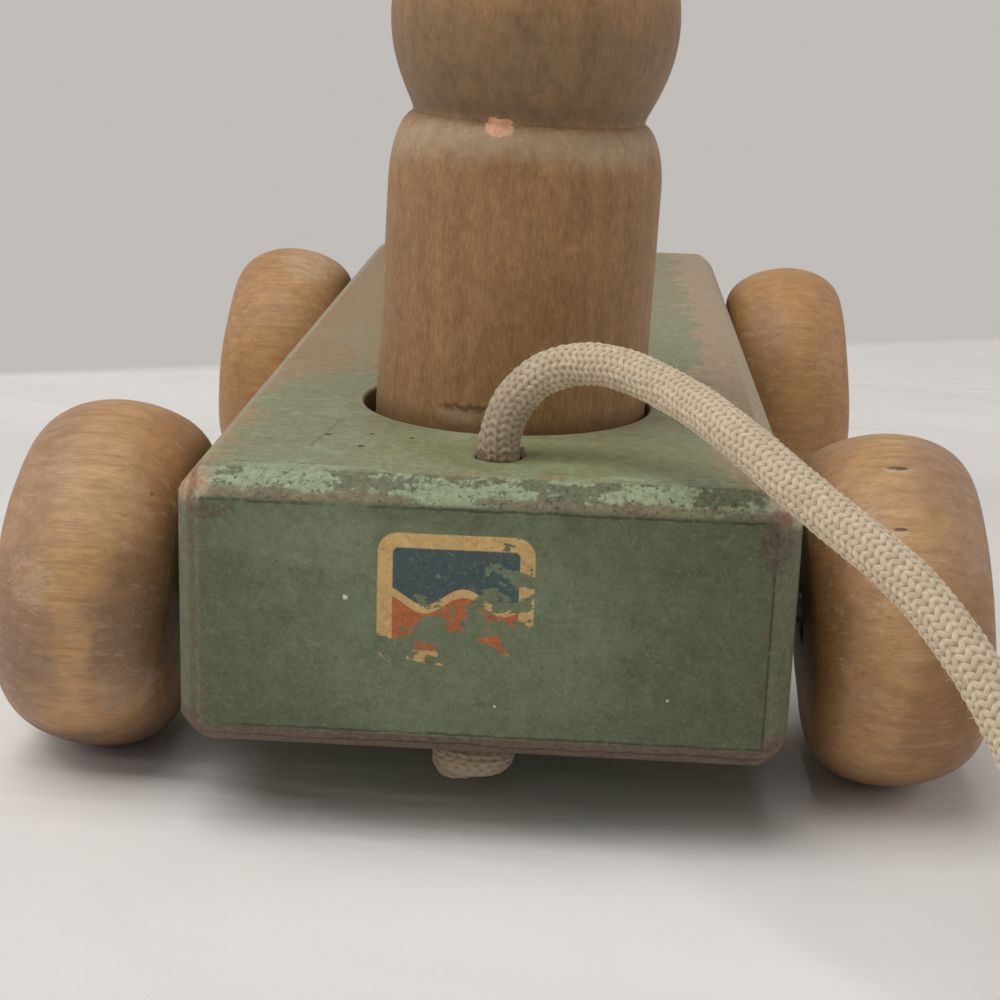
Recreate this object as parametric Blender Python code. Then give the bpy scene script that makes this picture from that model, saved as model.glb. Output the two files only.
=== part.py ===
"""Wooden pull toy: a painted block on four turned barrel wheels, a peg driver and a braided pull cord.

Units are metres, +Z is up, the floor is z = 0 and the toy is pulled towards -Y.
"""

import math

import bmesh
import bpy
import numpy as np

MM = 0.001
CLEARANCE = 0.3 * MM

# Block
BLOCK_WIDTH = 90 * MM
BLOCK_LENGTH = 242 * MM
BLOCK_HEIGHT = 42.6 * MM
EDGE_BREAK = 4.2 * MM

# Peg socket in the deck
SOCKET_FROM_FRONT = 53.3 * MM
SOCKET_RADIUS = 23.9 * MM
SOCKET_DEPTH = 19 * MM

# Peg driver, heights measured up from the deck along its own axis
PEG_PLAY = 1.4 * MM
PEG_WAIST_INSET = 0.3 * MM
PEG_NECK_HEIGHT = 47 * MM
PEG_NECK_RADIUS = 17.7 * MM
PEG_SHOULDER_DROP = 11 * MM
PEG_HEAD_RADIUS = 23 * MM
PEG_HEAD_HALF_HEIGHT = 24 * MM
PEG_FOOT_BREAK = 1.5 * MM
PEG_LEAN = math.radians(1.8)
PEG_SHIFT = 0.6 * MM

# Wheels, each loose on its own screw so that its top leans in
WHEEL_RADIUS = 28.4 * MM
WHEEL_HALF_WIDTH = 13.6 * MM
WHEEL_FACE_RADIUS = 20.1 * MM
WHEEL_SIDE_GAP = 2.6 * MM
WHEEL_LEAN = math.radians(5.5)
AXLE_ABOVE_UNDERSIDE = 14.8 * MM
FRONT_AXLE_FROM_FRONT = 36 * MM
REAR_AXLE_FROM_REAR = 29 * MM
COUNTERBORE_RADIUS = 10.5 * MM
COUNTERBORE_DEPTH = 8 * MM

# Wheel screws and washers
SCREW_RADIUS = 3 * MM
SCREW_IN_BLOCK = 30 * MM
SCREW_POINT = 4 * MM
SCREW_HEAD_RADIUS = 6 * MM
SCREW_HEAD_HEIGHT = 3.6 * MM
SCREW_SLOT_WIDTH = 1.5 * MM
SCREW_SLOT_DEPTH = 1.6 * MM
WASHER_RADIUS = 8.2 * MM
WASHER_THICKNESS = 1.5 * MM

# Pull cord
CORD_RADIUS = 3.25 * MM
CORD_HOLE_X = 0.7 * MM
CORD_HOLE_FROM_FRONT = 15.4 * MM
STOP_KNOT_WIDTH = 14.2 * MM
STOP_KNOT_HEIGHT = 9.3 * MM
STOP_KNOT_SHIFT = -2.4 * MM
END_KNOT_WIDTH = 14 * MM
COIL_CENTRE = (124 * MM, -138 * MM)
COIL_RADIUS = 41 * MM
COIL_PITCH = 7.3 * MM
COIL_TURNS = 2
COIL_TUCK_TURN = 0.42
COIL_TUCK = 13.5 * MM
TIE_THICKNESS = 1.2 * MM
TIE_WIDTH = 5 * MM
TIE_TURN = 0.45

# The cord's way from the deck to the coil, chosen by hand in millimetres
CORD_ROUTE = (
    (1.0, -105.5, 60.0),
    (2.6, -105.2, 64.4),
    (6.0, -104.9, 68.2),
    (9.8, -105.0, 70.0),
    (13.0, -105.7, 70.7),
    (16.1, -107.3, 70.9),
    (19.6, -109.9, 70.6),
    (22.6, -112.8, 70.0),
    (25.6, -116.3, 69.2),
    (28.6, -120.4, 68.4),
    (32.0, -126.0, 67.1),
    (36.0, -132.0, 65.2),
    (41.0, -138.6, 62.3),
    (46.2, -144.8, 59.4),
    (50.3, -149.5, 57.2),
    (54.2, -153.9, 54.6),
    (57.2, -157.8, 51.9),
    (60.1, -161.5, 48.6),
    (62.3, -164.2, 45.6),
    (64.6, -167.4, 41.8),
    (67.8, -172.0, 35.4),
    (71.2, -176.0, 27.6),
    (75.4, -178.8, 19.4),
    (81.2, -180.0, 12.2),
    (89.0, -180.0, 7.6),
    (98.0, -179.4, 5.6),
    (108.0, -179.0, 5.05),
)

# Sizes worked out from those above
SCREW_HOLE_RADIUS = SCREW_RADIUS + CLEARANCE
WHEEL_BORE_RADIUS = SCREW_RADIUS + WHEEL_HALF_WIDTH * math.tan(WHEEL_LEAN) + CLEARANCE
WHEEL_DROP = WHEEL_FACE_RADIUS * math.cos(WHEEL_LEAN) + math.hypot(
    (WHEEL_RADIUS - WHEEL_FACE_RADIUS) * math.cos(WHEEL_LEAN), WHEEL_HALF_WIDTH * math.sin(WHEEL_LEAN)
)
AXLE_Z = WHEEL_DROP
UNDERSIDE_Z = AXLE_Z - AXLE_ABOVE_UNDERSIDE
DECK_Z = UNDERSIDE_Z + BLOCK_HEIGHT
FRONT_Y = -BLOCK_LENGTH / 2
FRONT_AXLE_Y = FRONT_Y + FRONT_AXLE_FROM_FRONT
REAR_AXLE_Y = BLOCK_LENGTH / 2 - REAR_AXLE_FROM_REAR
SOCKET_Y = FRONT_Y + SOCKET_FROM_FRONT
SIDE_X = BLOCK_WIDTH / 2
WHEEL_REACH_IN = WHEEL_FACE_RADIUS * math.sin(WHEEL_LEAN) + math.hypot(
    WHEEL_HALF_WIDTH * math.cos(WHEEL_LEAN), (WHEEL_RADIUS - WHEEL_FACE_RADIUS) * math.sin(WHEEL_LEAN)
)
WHEEL_X = SIDE_X + WHEEL_SIDE_GAP + WHEEL_REACH_IN
PEG_RADIUS = SOCKET_RADIUS - PEG_PLAY
CORD_HOLE_RADIUS = CORD_RADIUS + CLEARANCE
CORD_HOLE_Y = FRONT_Y + CORD_HOLE_FROM_FRONT
TIE_GAP = 0.4 * MM
COIL_Z = TIE_THICKNESS + TIE_GAP + CORD_RADIUS + 0.2 * MM


def clear_scene():
    for found in list(bpy.data.objects):
        bpy.data.objects.remove(found, do_unlink=True)


def material(name, colour, roughness, metallic=0.0):
    made = bpy.data.materials.new(name)
    made.use_nodes = True
    shader = made.node_tree.nodes["Principled BSDF"]
    shader.inputs["Base Color"].default_value = (*colour, 1.0)
    shader.inputs["Roughness"].default_value = roughness
    shader.inputs["Metallic"].default_value = metallic
    return made


def add_object(name, data, surface, location=(0, 0, 0), rotation=(0, 0, 0)):
    placed = bpy.data.objects.new(name, data)
    bpy.context.scene.collection.objects.link(placed)
    placed.location = location
    placed.rotation_euler = rotation
    if surface is not None:
        placed.data.materials.append(surface)
    return placed


def mesh_from(bm, name, smooth_angle=None):
    bmesh.ops.recalc_face_normals(bm, faces=bm.faces)
    data = bpy.data.meshes.new(name)
    bm.to_mesh(data)
    bm.free()
    if smooth_angle is not None:
        data.shade_smooth()
        data.set_sharp_from_angle(angle=smooth_angle)
    return data


def turned(name, profile, steps, ring, smooth_angle=math.radians(35)):
    """A turned piece round its own X axis from (x, radius) points. A ring's profile closes on itself."""
    bm = bmesh.new()
    points = [bm.verts.new((x, 0, radius)) for x, radius in profile]
    edges = [bm.edges.new(pair) for pair in zip(points, points[1:])]
    if ring:
        edges.append(bm.edges.new((points[-1], points[0])))
    bmesh.ops.spin(
        bm,
        geom=points + edges,
        cent=(0, 0, 0),
        axis=(1, 0, 0),
        angle=2 * math.pi,
        steps=steps,
        use_merge=True,
    )
    bmesh.ops.remove_doubles(bm, verts=bm.verts, dist=0.001 * MM)
    bmesh.ops.dissolve_degenerate(bm, edges=bm.edges, dist=0.001 * MM)
    return mesh_from(bm, name, smooth_angle)


def cut(target, cutter):
    cutter.hide_render = True
    cutter.display_type = "WIRE"
    boolean = target.modifiers.new(cutter.name, "BOOLEAN")
    boolean.operation = "DIFFERENCE"
    boolean.solver = "EXACT"
    boolean.object = cutter


def cylinder_mesh(name, radius, length, steps):
    bm = bmesh.new()
    bmesh.ops.create_cone(
        bm, cap_ends=True, segments=steps, radius1=radius, radius2=radius, depth=length
    )
    return mesh_from(bm, name)


def box_mesh(name, size):
    bm = bmesh.new()
    bmesh.ops.create_cube(bm, size=1.0)
    bmesh.ops.scale(bm, vec=size, verts=bm.verts)
    return mesh_from(bm, name)


def tube(name, points, radius, surface, sides):
    curve = bpy.data.curves.new(name, "CURVE")
    curve.dimensions = "3D"
    curve.bevel_depth = radius
    curve.bevel_resolution = sides // 2 - 2
    curve.use_fill_caps = True
    spline = curve.splines.new("POLY")
    spline.points.add(len(points) - 1)
    for target, point in zip(spline.points, points):
        target.co = (*point, 1.0)
    spline.use_smooth = True
    return add_object(name, curve, surface)


def smooth_route(points, spacing):
    """Points an even distance apart on a smooth curve that passes through every given point."""
    points = np.array(points)
    padded = np.vstack([2 * points[0] - points[1], points, 2 * points[-1] - points[-2]])
    fine = []
    for before, start, end, after in zip(padded, padded[1:], padded[2:], padded[3:]):
        for t in np.linspace(0, 1, 20, endpoint=False):
            fine.append(
                0.5
                * (
                    2 * start
                    + (end - before) * t
                    + (2 * before - 5 * start + 4 * end - after) * t**2
                    + (3 * start - before - 3 * end + after) * t**3
                )
            )
    fine = np.array(fine + [points[-1]])
    along = np.concatenate([[0], np.cumsum(np.linalg.norm(np.diff(fine, axis=0), axis=1))])
    count = max(2, round(along[-1] / spacing))
    marks = np.linspace(0, along[-1], count + 1)
    return np.column_stack([np.interp(marks, along, fine[:, axis]) for axis in range(3)])


def coil_point(turn):
    """A point of the flat coil: it winds inwards by one pitch a turn and tucks its end to the middle."""
    angle = -math.pi / 2 + 2 * math.pi * turn
    tuck = max(0.0, turn - (COIL_TURNS - COIL_TUCK_TURN)) / COIL_TUCK_TURN
    radius = COIL_RADIUS - COIL_PITCH * turn - COIL_TUCK * tuck**2
    x, y = COIL_CENTRE
    return np.array([x + radius * math.cos(angle), y + radius * math.sin(angle), COIL_Z])


def least_gap_to_itself(points, radius):
    """The least gap between stretches of one tube that are over four diameters apart along it."""
    along = np.concatenate([[0], np.cumsum(np.linalg.norm(np.diff(points, axis=0), axis=1))])
    apart = np.linalg.norm(points[:, None] - points[None, :], axis=2)
    far = np.abs(along[:, None] - along[None, :]) > 8 * radius
    return apart[far].min() - 2 * radius


def knot_mesh(name, width, height, twist):
    """A tightened knot: a flattened ball with the swell of three wraps across it."""
    bm = bmesh.new()
    bmesh.ops.create_uvsphere(bm, u_segments=24, v_segments=14, radius=1.0)
    for vert in bm.verts:
        x, y, z = vert.co
        around = math.atan2(y, x)
        level = math.copysign(abs(z) ** 0.75, z)
        spread = max(0.0, 1 - abs(z) ** 3.2) ** 0.5
        spread *= 1 + 0.05 * math.cos(3 * around + twist * level)
        vert.co = (
            0.476 * width * spread * math.cos(around),
            0.476 * width * spread * math.sin(around),
            0.5 * height * z,
        )
    return mesh_from(bm, name, math.radians(60))


clear_scene()

green_paint = material("green_paint", (0.10, 0.15, 0.075), 0.55)
turned_wood = material("turned_wood", (0.36, 0.19, 0.08), 0.38)
peg_wood = material("peg_wood", (0.34, 0.20, 0.09), 0.45)
screw_steel = material("screw_steel", (0.45, 0.44, 0.42), 0.4, 1.0)
washer_steel = material("washer_steel", (0.52, 0.51, 0.49), 0.42, 1.0)
cotton_cord = material("cotton_cord", (0.72, 0.62, 0.46), 0.9)
tie_cotton = material("tie_cotton", (0.78, 0.72, 0.62), 0.85)

# The block, with the peg socket, the cord hole and a hole for each wheel screw
block = add_object(
    "chassis_block",
    box_mesh("chassis_block", (BLOCK_WIDTH, BLOCK_LENGTH, BLOCK_HEIGHT)),
    green_paint,
    location=(0, 0, UNDERSIDE_Z + BLOCK_HEIGHT / 2),
)
edge_break = block.modifiers.new("edge_break", "BEVEL")
edge_break.width = EDGE_BREAK
edge_break.segments = 3
edge_break.profile = 0.4
edge_break.limit_method = "ANGLE"

socket_cutter = add_object(
    "socket_cutter",
    cylinder_mesh("socket_cutter", SOCKET_RADIUS, 2 * SOCKET_DEPTH, 56),
    None,
    location=(0, SOCKET_Y, DECK_Z),
)
cut(block, socket_cutter)

cord_hole_cutter = add_object(
    "cord_hole_cutter",
    cylinder_mesh("cord_hole_cutter", CORD_HOLE_RADIUS, 2 * BLOCK_HEIGHT, 28),
    None,
    location=(CORD_HOLE_X, CORD_HOLE_Y, UNDERSIDE_Z + BLOCK_HEIGHT / 2),
)
cut(block, cord_hole_cutter)

# The peg driver leans a little in its socket, so it stands on one edge of its foot
foot = SOCKET_DEPTH - PEG_RADIUS * math.sin(PEG_LEAN) - CLEARANCE
waist = PEG_RADIUS - PEG_WAIST_INSET
shoulder_start = PEG_NECK_HEIGHT - PEG_SHOULDER_DROP
head_centre = PEG_NECK_HEIGHT + PEG_HEAD_HALF_HEIGHT * math.sqrt(
    1 - (PEG_NECK_RADIUS / PEG_HEAD_RADIUS) ** 2
)
peg_profile = [
    (-foot, 0),
    (-foot, PEG_RADIUS - PEG_FOOT_BREAK),
    (PEG_FOOT_BREAK - foot, PEG_RADIUS),
    (0, PEG_RADIUS),
    (shoulder_start / 2, waist),
]
for step in range(9):
    bend = math.pi / 2 * step / 9
    peg_profile.append(
        (
            shoulder_start + PEG_SHOULDER_DROP * math.sin(bend),
            PEG_NECK_RADIUS + (waist - PEG_NECK_RADIUS) * math.cos(bend) ** 0.9,
        )
    )
neck_angle = math.asin(PEG_NECK_RADIUS / PEG_HEAD_RADIUS)
for step in range(13):
    bend = math.pi - neck_angle - (math.pi - neck_angle) * step / 12
    peg_profile.append(
        (head_centre + PEG_HEAD_HALF_HEIGHT * math.cos(bend), PEG_HEAD_RADIUS * math.sin(bend))
    )
add_object(
    "peg_driver",
    turned("peg_driver", peg_profile, 40, ring=False),
    peg_wood,
    location=(PEG_SHIFT, SOCKET_Y, DECK_Z),
    rotation=(0, PEG_LEAN - math.pi / 2, 0),
)

# The wheels, their screws and their washers
wheel_profile = [(-WHEEL_HALF_WIDTH, WHEEL_BORE_RADIUS)]
for step in range(15):
    bend = math.pi - math.pi * step / 14
    wheel_profile.append(
        (
            WHEEL_HALF_WIDTH * math.cos(bend),
            WHEEL_FACE_RADIUS + (WHEEL_RADIUS - WHEEL_FACE_RADIUS) * math.sin(bend),
        )
    )
counterbore_floor = WHEEL_HALF_WIDTH - COUNTERBORE_DEPTH
wheel_profile += [
    (WHEEL_HALF_WIDTH, COUNTERBORE_RADIUS),
    (counterbore_floor, COUNTERBORE_RADIUS),
    (counterbore_floor, WHEEL_BORE_RADIUS),
]

washer_hole = SCREW_RADIUS + CLEARANCE
washer_profile = [
    (0, washer_hole),
    (0, WASHER_RADIUS),
    (WASHER_THICKNESS, WASHER_RADIUS),
    (WASHER_THICKNESS, washer_hole),
]

inner_washer_x = SIDE_X + CLEARANCE
lean_reach = WASHER_RADIUS * math.sin(WHEEL_LEAN)
outer_washer_x = WHEEL_X + counterbore_floor * math.cos(WHEEL_LEAN) + lean_reach + CLEARANCE
head_x = outer_washer_x + WASHER_THICKNESS + CLEARANCE - SIDE_X

screw_profile = [
    (-SCREW_IN_BLOCK, 0),
    (SCREW_POINT - SCREW_IN_BLOCK, SCREW_RADIUS),
    (head_x, SCREW_RADIUS),
    (head_x, SCREW_HEAD_RADIUS),
]
for step in range(1, 7):
    bend = math.pi / 2 * step / 6
    screw_profile.append(
        (head_x + SCREW_HEAD_HEIGHT * math.sin(bend), SCREW_HEAD_RADIUS * math.cos(bend))
    )

for end, axle_y in (("front", FRONT_AXLE_Y), ("rear", REAR_AXLE_Y)):
    for side, sign, turn in (("left", -1, math.pi), ("right", 1, 0.0)):
        place = end + "_" + side
        add_object(
            "wheel_" + place,
            turned("wheel_" + place, wheel_profile, 40, ring=True),
            turned_wood,
            location=(sign * WHEEL_X, axle_y, AXLE_Z),
            rotation=(0, -WHEEL_LEAN, turn),
        )
        for layer, washer_x in (("inner", inner_washer_x), ("outer", outer_washer_x)):
            add_object(
                layer + "_washer_" + place,
                turned(layer + "_washer_" + place, washer_profile, 28, ring=True),
                washer_steel,
                location=(sign * washer_x, axle_y, AXLE_Z),
                rotation=(0, 0, turn),
            )
        screw = add_object(
            "wheel_screw_" + place,
            turned("wheel_screw_" + place, screw_profile, 20, ring=False),
            screw_steel,
            location=(sign * SIDE_X, axle_y, AXLE_Z),
            rotation=(0, 0, turn),
        )
        slot_cutter = add_object(
            "slot_cutter_" + place,
            box_mesh(
                "slot_cutter_" + place,
                (2 * SCREW_SLOT_DEPTH, 4 * SCREW_HEAD_RADIUS, SCREW_SLOT_WIDTH),
            ),
            None,
            location=(sign * (SIDE_X + head_x + SCREW_HEAD_HEIGHT), axle_y, AXLE_Z),
            rotation=(math.radians(25), 0, 0),
        )
        cut(screw, slot_cutter)
        screw_hole_cutter = add_object(
            "screw_hole_cutter_" + place,
            cylinder_mesh(
                "screw_hole_cutter_" + place, SCREW_HOLE_RADIUS, 2 * (SCREW_IN_BLOCK + CLEARANCE), 20
            ),
            None,
            location=(sign * SIDE_X, axle_y, AXLE_Z),
            rotation=(0, math.pi / 2, 0),
        )
        cut(block, screw_hole_cutter)

# The cord: a stop knot under the block, the stretch to the floor, the coil and the end knot
knot_top = UNDERSIDE_Z - CLEARANCE
add_object(
    "cord_stop_knot",
    knot_mesh("cord_stop_knot", STOP_KNOT_WIDTH, STOP_KNOT_HEIGHT, 2.2),
    cotton_cord,
    location=(CORD_HOLE_X + STOP_KNOT_SHIFT, CORD_HOLE_Y, knot_top - STOP_KNOT_HEIGHT / 2),
)

coil_start = coil_point(0.0)
coil_lead = np.array([-1.0, 0.0, 0.0])
stretch_end = coil_start + coil_lead * (2 * CORD_RADIUS + CLEARANCE)
in_hole = [(CORD_HOLE_X, CORD_HOLE_Y, UNDERSIDE_Z + share * BLOCK_HEIGHT) for share in (0, 0.35, 0.7, 1.0)]
on_route = [tuple(MM * value for value in point) for point in CORD_ROUTE]
into_coil = [tuple(stretch_end + coil_lead * 2 * CORD_RADIUS), tuple(stretch_end)]
stretch = smooth_route(in_hole + on_route[:-1] + into_coil, 1.05 * 2 * CORD_RADIUS)
tube("pull_cord", stretch, CORD_RADIUS, cotton_cord, 10)

turns = np.linspace(0, COIL_TURNS, 24 * COIL_TURNS + 1)
loops = [coil_point(turn) for turn in turns]
end_heading = loops[-1] - loops[-2]
end_heading = end_heading / np.linalg.norm(end_heading)
coil_tail = loops[-1] + end_heading * 2 * CORD_RADIUS
loops = np.array([coil_start + coil_lead * 2 * CORD_RADIUS] + loops + [coil_tail])
tube("cord_coil", loops, CORD_RADIUS, cotton_cord, 6)
print("least gap of the coil to itself, mm:", round(least_gap_to_itself(loops, CORD_RADIUS) / MM, 2))

knot_at = coil_tail + end_heading * (CLEARANCE + END_KNOT_WIDTH / 2)
add_object(
    "cord_end_knot",
    knot_mesh("cord_end_knot", 0.8 * END_KNOT_WIDTH, END_KNOT_WIDTH, 3.0),
    cotton_cord,
    location=knot_at,
    rotation=(0, math.pi / 2, math.atan2(end_heading[1], end_heading[0])),
)

# A flat tie round both turns of the coil
tie_outer = coil_point(TIE_TURN)
tie_inner = coil_point(TIE_TURN + 1)
tie_middle = (tie_outer + tie_inner) / 2
tie_across = tie_outer - tie_inner
tie_half = np.linalg.norm(tie_across) / 2
tie_room = CORD_RADIUS + TIE_GAP
bm = bmesh.new()
band = []
for layer in (0.0, TIE_THICKNESS):
    loop = []
    for centre, start in ((tie_half, -math.pi / 2), (-tie_half, math.pi / 2)):
        for step in range(9):
            bend = start + math.pi * step / 8
            reach = tie_room + layer
            loop.append(bm.verts.new((centre + reach * math.cos(bend), -TIE_WIDTH / 2, reach * math.sin(bend))))
    band.append(loop)
count = len(band[0])
faces = [
    bm.faces.new((band[0][at], band[0][(at + 1) % count], band[1][(at + 1) % count], band[1][at]))
    for at in range(count)
]
extruded = bmesh.ops.extrude_face_region(bm, geom=faces)
moved = [found for found in extruded["geom"] if isinstance(found, bmesh.types.BMVert)]
bmesh.ops.translate(bm, vec=(0, TIE_WIDTH, 0), verts=moved)
add_object(
    "coil_tie",
    mesh_from(bm, "coil_tie", math.radians(40)),
    tie_cotton,
    location=tie_middle,
    rotation=(0, 0, math.atan2(tie_across[1], tie_across[0])),
)
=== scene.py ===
# %% [markdown]
# Everything is built round the imported model. Its solids are loaded first and keep their places, and
# most new pieces take the place of a solid, in the same frame.

# %% Load the fixed frame
import math

import bpy
import numpy as np
from mathutils import Matrix


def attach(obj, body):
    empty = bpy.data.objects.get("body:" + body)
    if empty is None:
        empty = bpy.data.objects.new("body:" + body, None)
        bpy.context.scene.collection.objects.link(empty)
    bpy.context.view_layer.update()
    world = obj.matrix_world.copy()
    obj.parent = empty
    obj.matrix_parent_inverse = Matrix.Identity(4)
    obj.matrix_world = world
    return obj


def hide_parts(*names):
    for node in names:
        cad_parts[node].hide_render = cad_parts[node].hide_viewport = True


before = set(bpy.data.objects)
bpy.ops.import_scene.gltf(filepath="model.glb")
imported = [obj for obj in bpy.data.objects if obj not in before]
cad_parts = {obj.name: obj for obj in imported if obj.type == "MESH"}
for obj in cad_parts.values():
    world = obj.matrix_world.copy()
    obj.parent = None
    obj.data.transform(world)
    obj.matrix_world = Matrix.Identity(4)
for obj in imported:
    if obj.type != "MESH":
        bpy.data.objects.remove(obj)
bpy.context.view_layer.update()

MM = 0.001
bpy.context.scene.view_settings.view_transform = "Standard"

# %% [markdown]
# The picture was taken from close by, a little above the deck and almost straight along the toy. A camera
# can be set by eye, but the converging long edges of the block fix it well, so its place, its turn and
# its lens are the ones at which the block, the socket and the wheels fall where the picture shows them.

# %% Camera at the photograph's viewing angle
CAMERA_PLACE = (13.3 * MM, -374.8 * MM, 125.2 * MM)
CAMERA_PITCH = math.radians(15.70)
CAMERA_YAW = math.radians(-2.59)
CAMERA_ROLL = math.radians(1.92)
FOCAL_PIXELS = 1872.0
IMAGE_PIXELS = 1000
SENSOR = 36.0


def make_camera():
    ahead = math.cos(CAMERA_PITCH)
    forward = np.array(
        [math.sin(CAMERA_YAW) * ahead, math.cos(CAMERA_YAW) * ahead, -math.sin(CAMERA_PITCH)]
    )
    level = np.array([math.cos(CAMERA_YAW), -math.sin(CAMERA_YAW), 0.0])
    upright = np.cross(level, forward)
    right = math.cos(CAMERA_ROLL) * level + math.sin(CAMERA_ROLL) * upright
    up = math.cos(CAMERA_ROLL) * upright - math.sin(CAMERA_ROLL) * level
    data = bpy.data.cameras.new("camera")
    data.sensor_width = SENSOR
    data.lens = FOCAL_PIXELS * SENSOR / IMAGE_PIXELS
    data.clip_start = 0.01
    camera = bpy.data.objects.new("camera", data)
    bpy.context.scene.collection.objects.link(camera)
    placed = np.eye(4)
    placed[:3, :3] = np.column_stack([right, up, -forward])
    placed[:3, 3] = CAMERA_PLACE
    camera.matrix_world = Matrix(placed.tolist())
    bpy.context.scene.camera = camera
    return data


print("lens:", round(make_camera().lens, 1), "mm")

# %% [markdown]
# A finish is a small graph of shader nodes, and most of it is arithmetic: masks, thresholds, distances.
# Linking Math nodes one by one is slow to read, so a wire from one node to the next is wrapped in a class
# that knows plus, minus, times and so on.


# %% Shader wires that understand arithmetic
class Wire:
    """The output of one shader node. Arithmetic on it adds Math nodes."""

    def __init__(self, tree, socket):
        self.tree = tree
        self.socket = socket

    def math(self, operation, *values):
        node = self.tree.nodes.new("ShaderNodeMath")
        node.operation = operation
        for socket, value in zip(node.inputs, values):
            feed(self.tree, socket, value)
        return Wire(self.tree, node.outputs[0])

    def __add__(self, other):
        return self.math("ADD", self, other)

    def __radd__(self, other):
        return self.math("ADD", other, self)

    def __sub__(self, other):
        return self.math("SUBTRACT", self, other)

    def __rsub__(self, other):
        return self.math("SUBTRACT", other, self)

    def __mul__(self, other):
        return self.math("MULTIPLY", self, other)

    def __rmul__(self, other):
        return self.math("MULTIPLY", other, self)

    def __abs__(self):
        return self.math("ABSOLUTE", self)

    def least(self, other):
        return self.math("MINIMUM", self, other)

    def most(self, other):
        return self.math("MAXIMUM", self, other)

    def root(self):
        return self.math("SQRT", self)

    def floor(self):
        return self.math("FLOOR", self)

    def sine(self):
        return self.math("SINE", self)

    def cosine(self):
        return self.math("COSINE", self)

    def swing(self, reach):
        """A noise of 0 to 1, made to swing about 0 with the given reach."""
        return (self - 0.5) * reach


def feed(tree, socket, value):
    """Links a wire to a socket, or sets the socket's own value."""
    if isinstance(value, Wire):
        tree.links.new(value.socket, socket)
    elif socket.type == "RGBA":
        socket.default_value = (*value, 1.0)
    else:
        socket.default_value = value


print("shader wires ready")

# %% [markdown]
# Noises, ramps and mixes differ only in their type, their settings and what goes into their sockets, so
# one method can make them all. A graph of nodes is the same thing in a material and in the sky, and both
# use the class below.


# %% Node graphs
def linear(red, green, blue):
    """A colour as it is read off a screen, from 0 to 255, as the linear colour that a shader takes."""
    shares = [value / 255 for value in (red, green, blue)]
    return tuple(s / 12.92 if s <= 0.04045 else ((s + 0.055) / 1.055) ** 2.4 for s in shares)


class Graph:
    """A tree of shader nodes, in which one method makes every node other than arithmetic."""

    def __init__(self, tree):
        self.tree = tree

    def node(self, kind, settings=None, sockets=None, output=0):
        made = self.tree.nodes.new(kind)
        for name, value in (settings or {}).items():
            if name == "stops":
                for element, (position, colour) in zip(made.color_ramp.elements, value):
                    element.position = position
                    element.color = (*colour, 1.0)
            else:
                setattr(made, name, value)
        for name, value in (sockets or {}).items():
            feed(self.tree, made.inputs[name], value)
        return Wire(self.tree, made.outputs[output])

    def show(self, surface, output):
        """Sends a shader to the output node of the tree."""
        feed(self.tree, self.tree.nodes[output].inputs["Surface"], surface)


print("node graphs ready")

# %% [markdown]
# Paint, varnish and dirt lie on each other in layers, and a finish is built the same way: it starts with
# a ground colour, and each coat lays another colour over it through a mask. The class below is a graph
# that keeps the colour so far.


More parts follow.
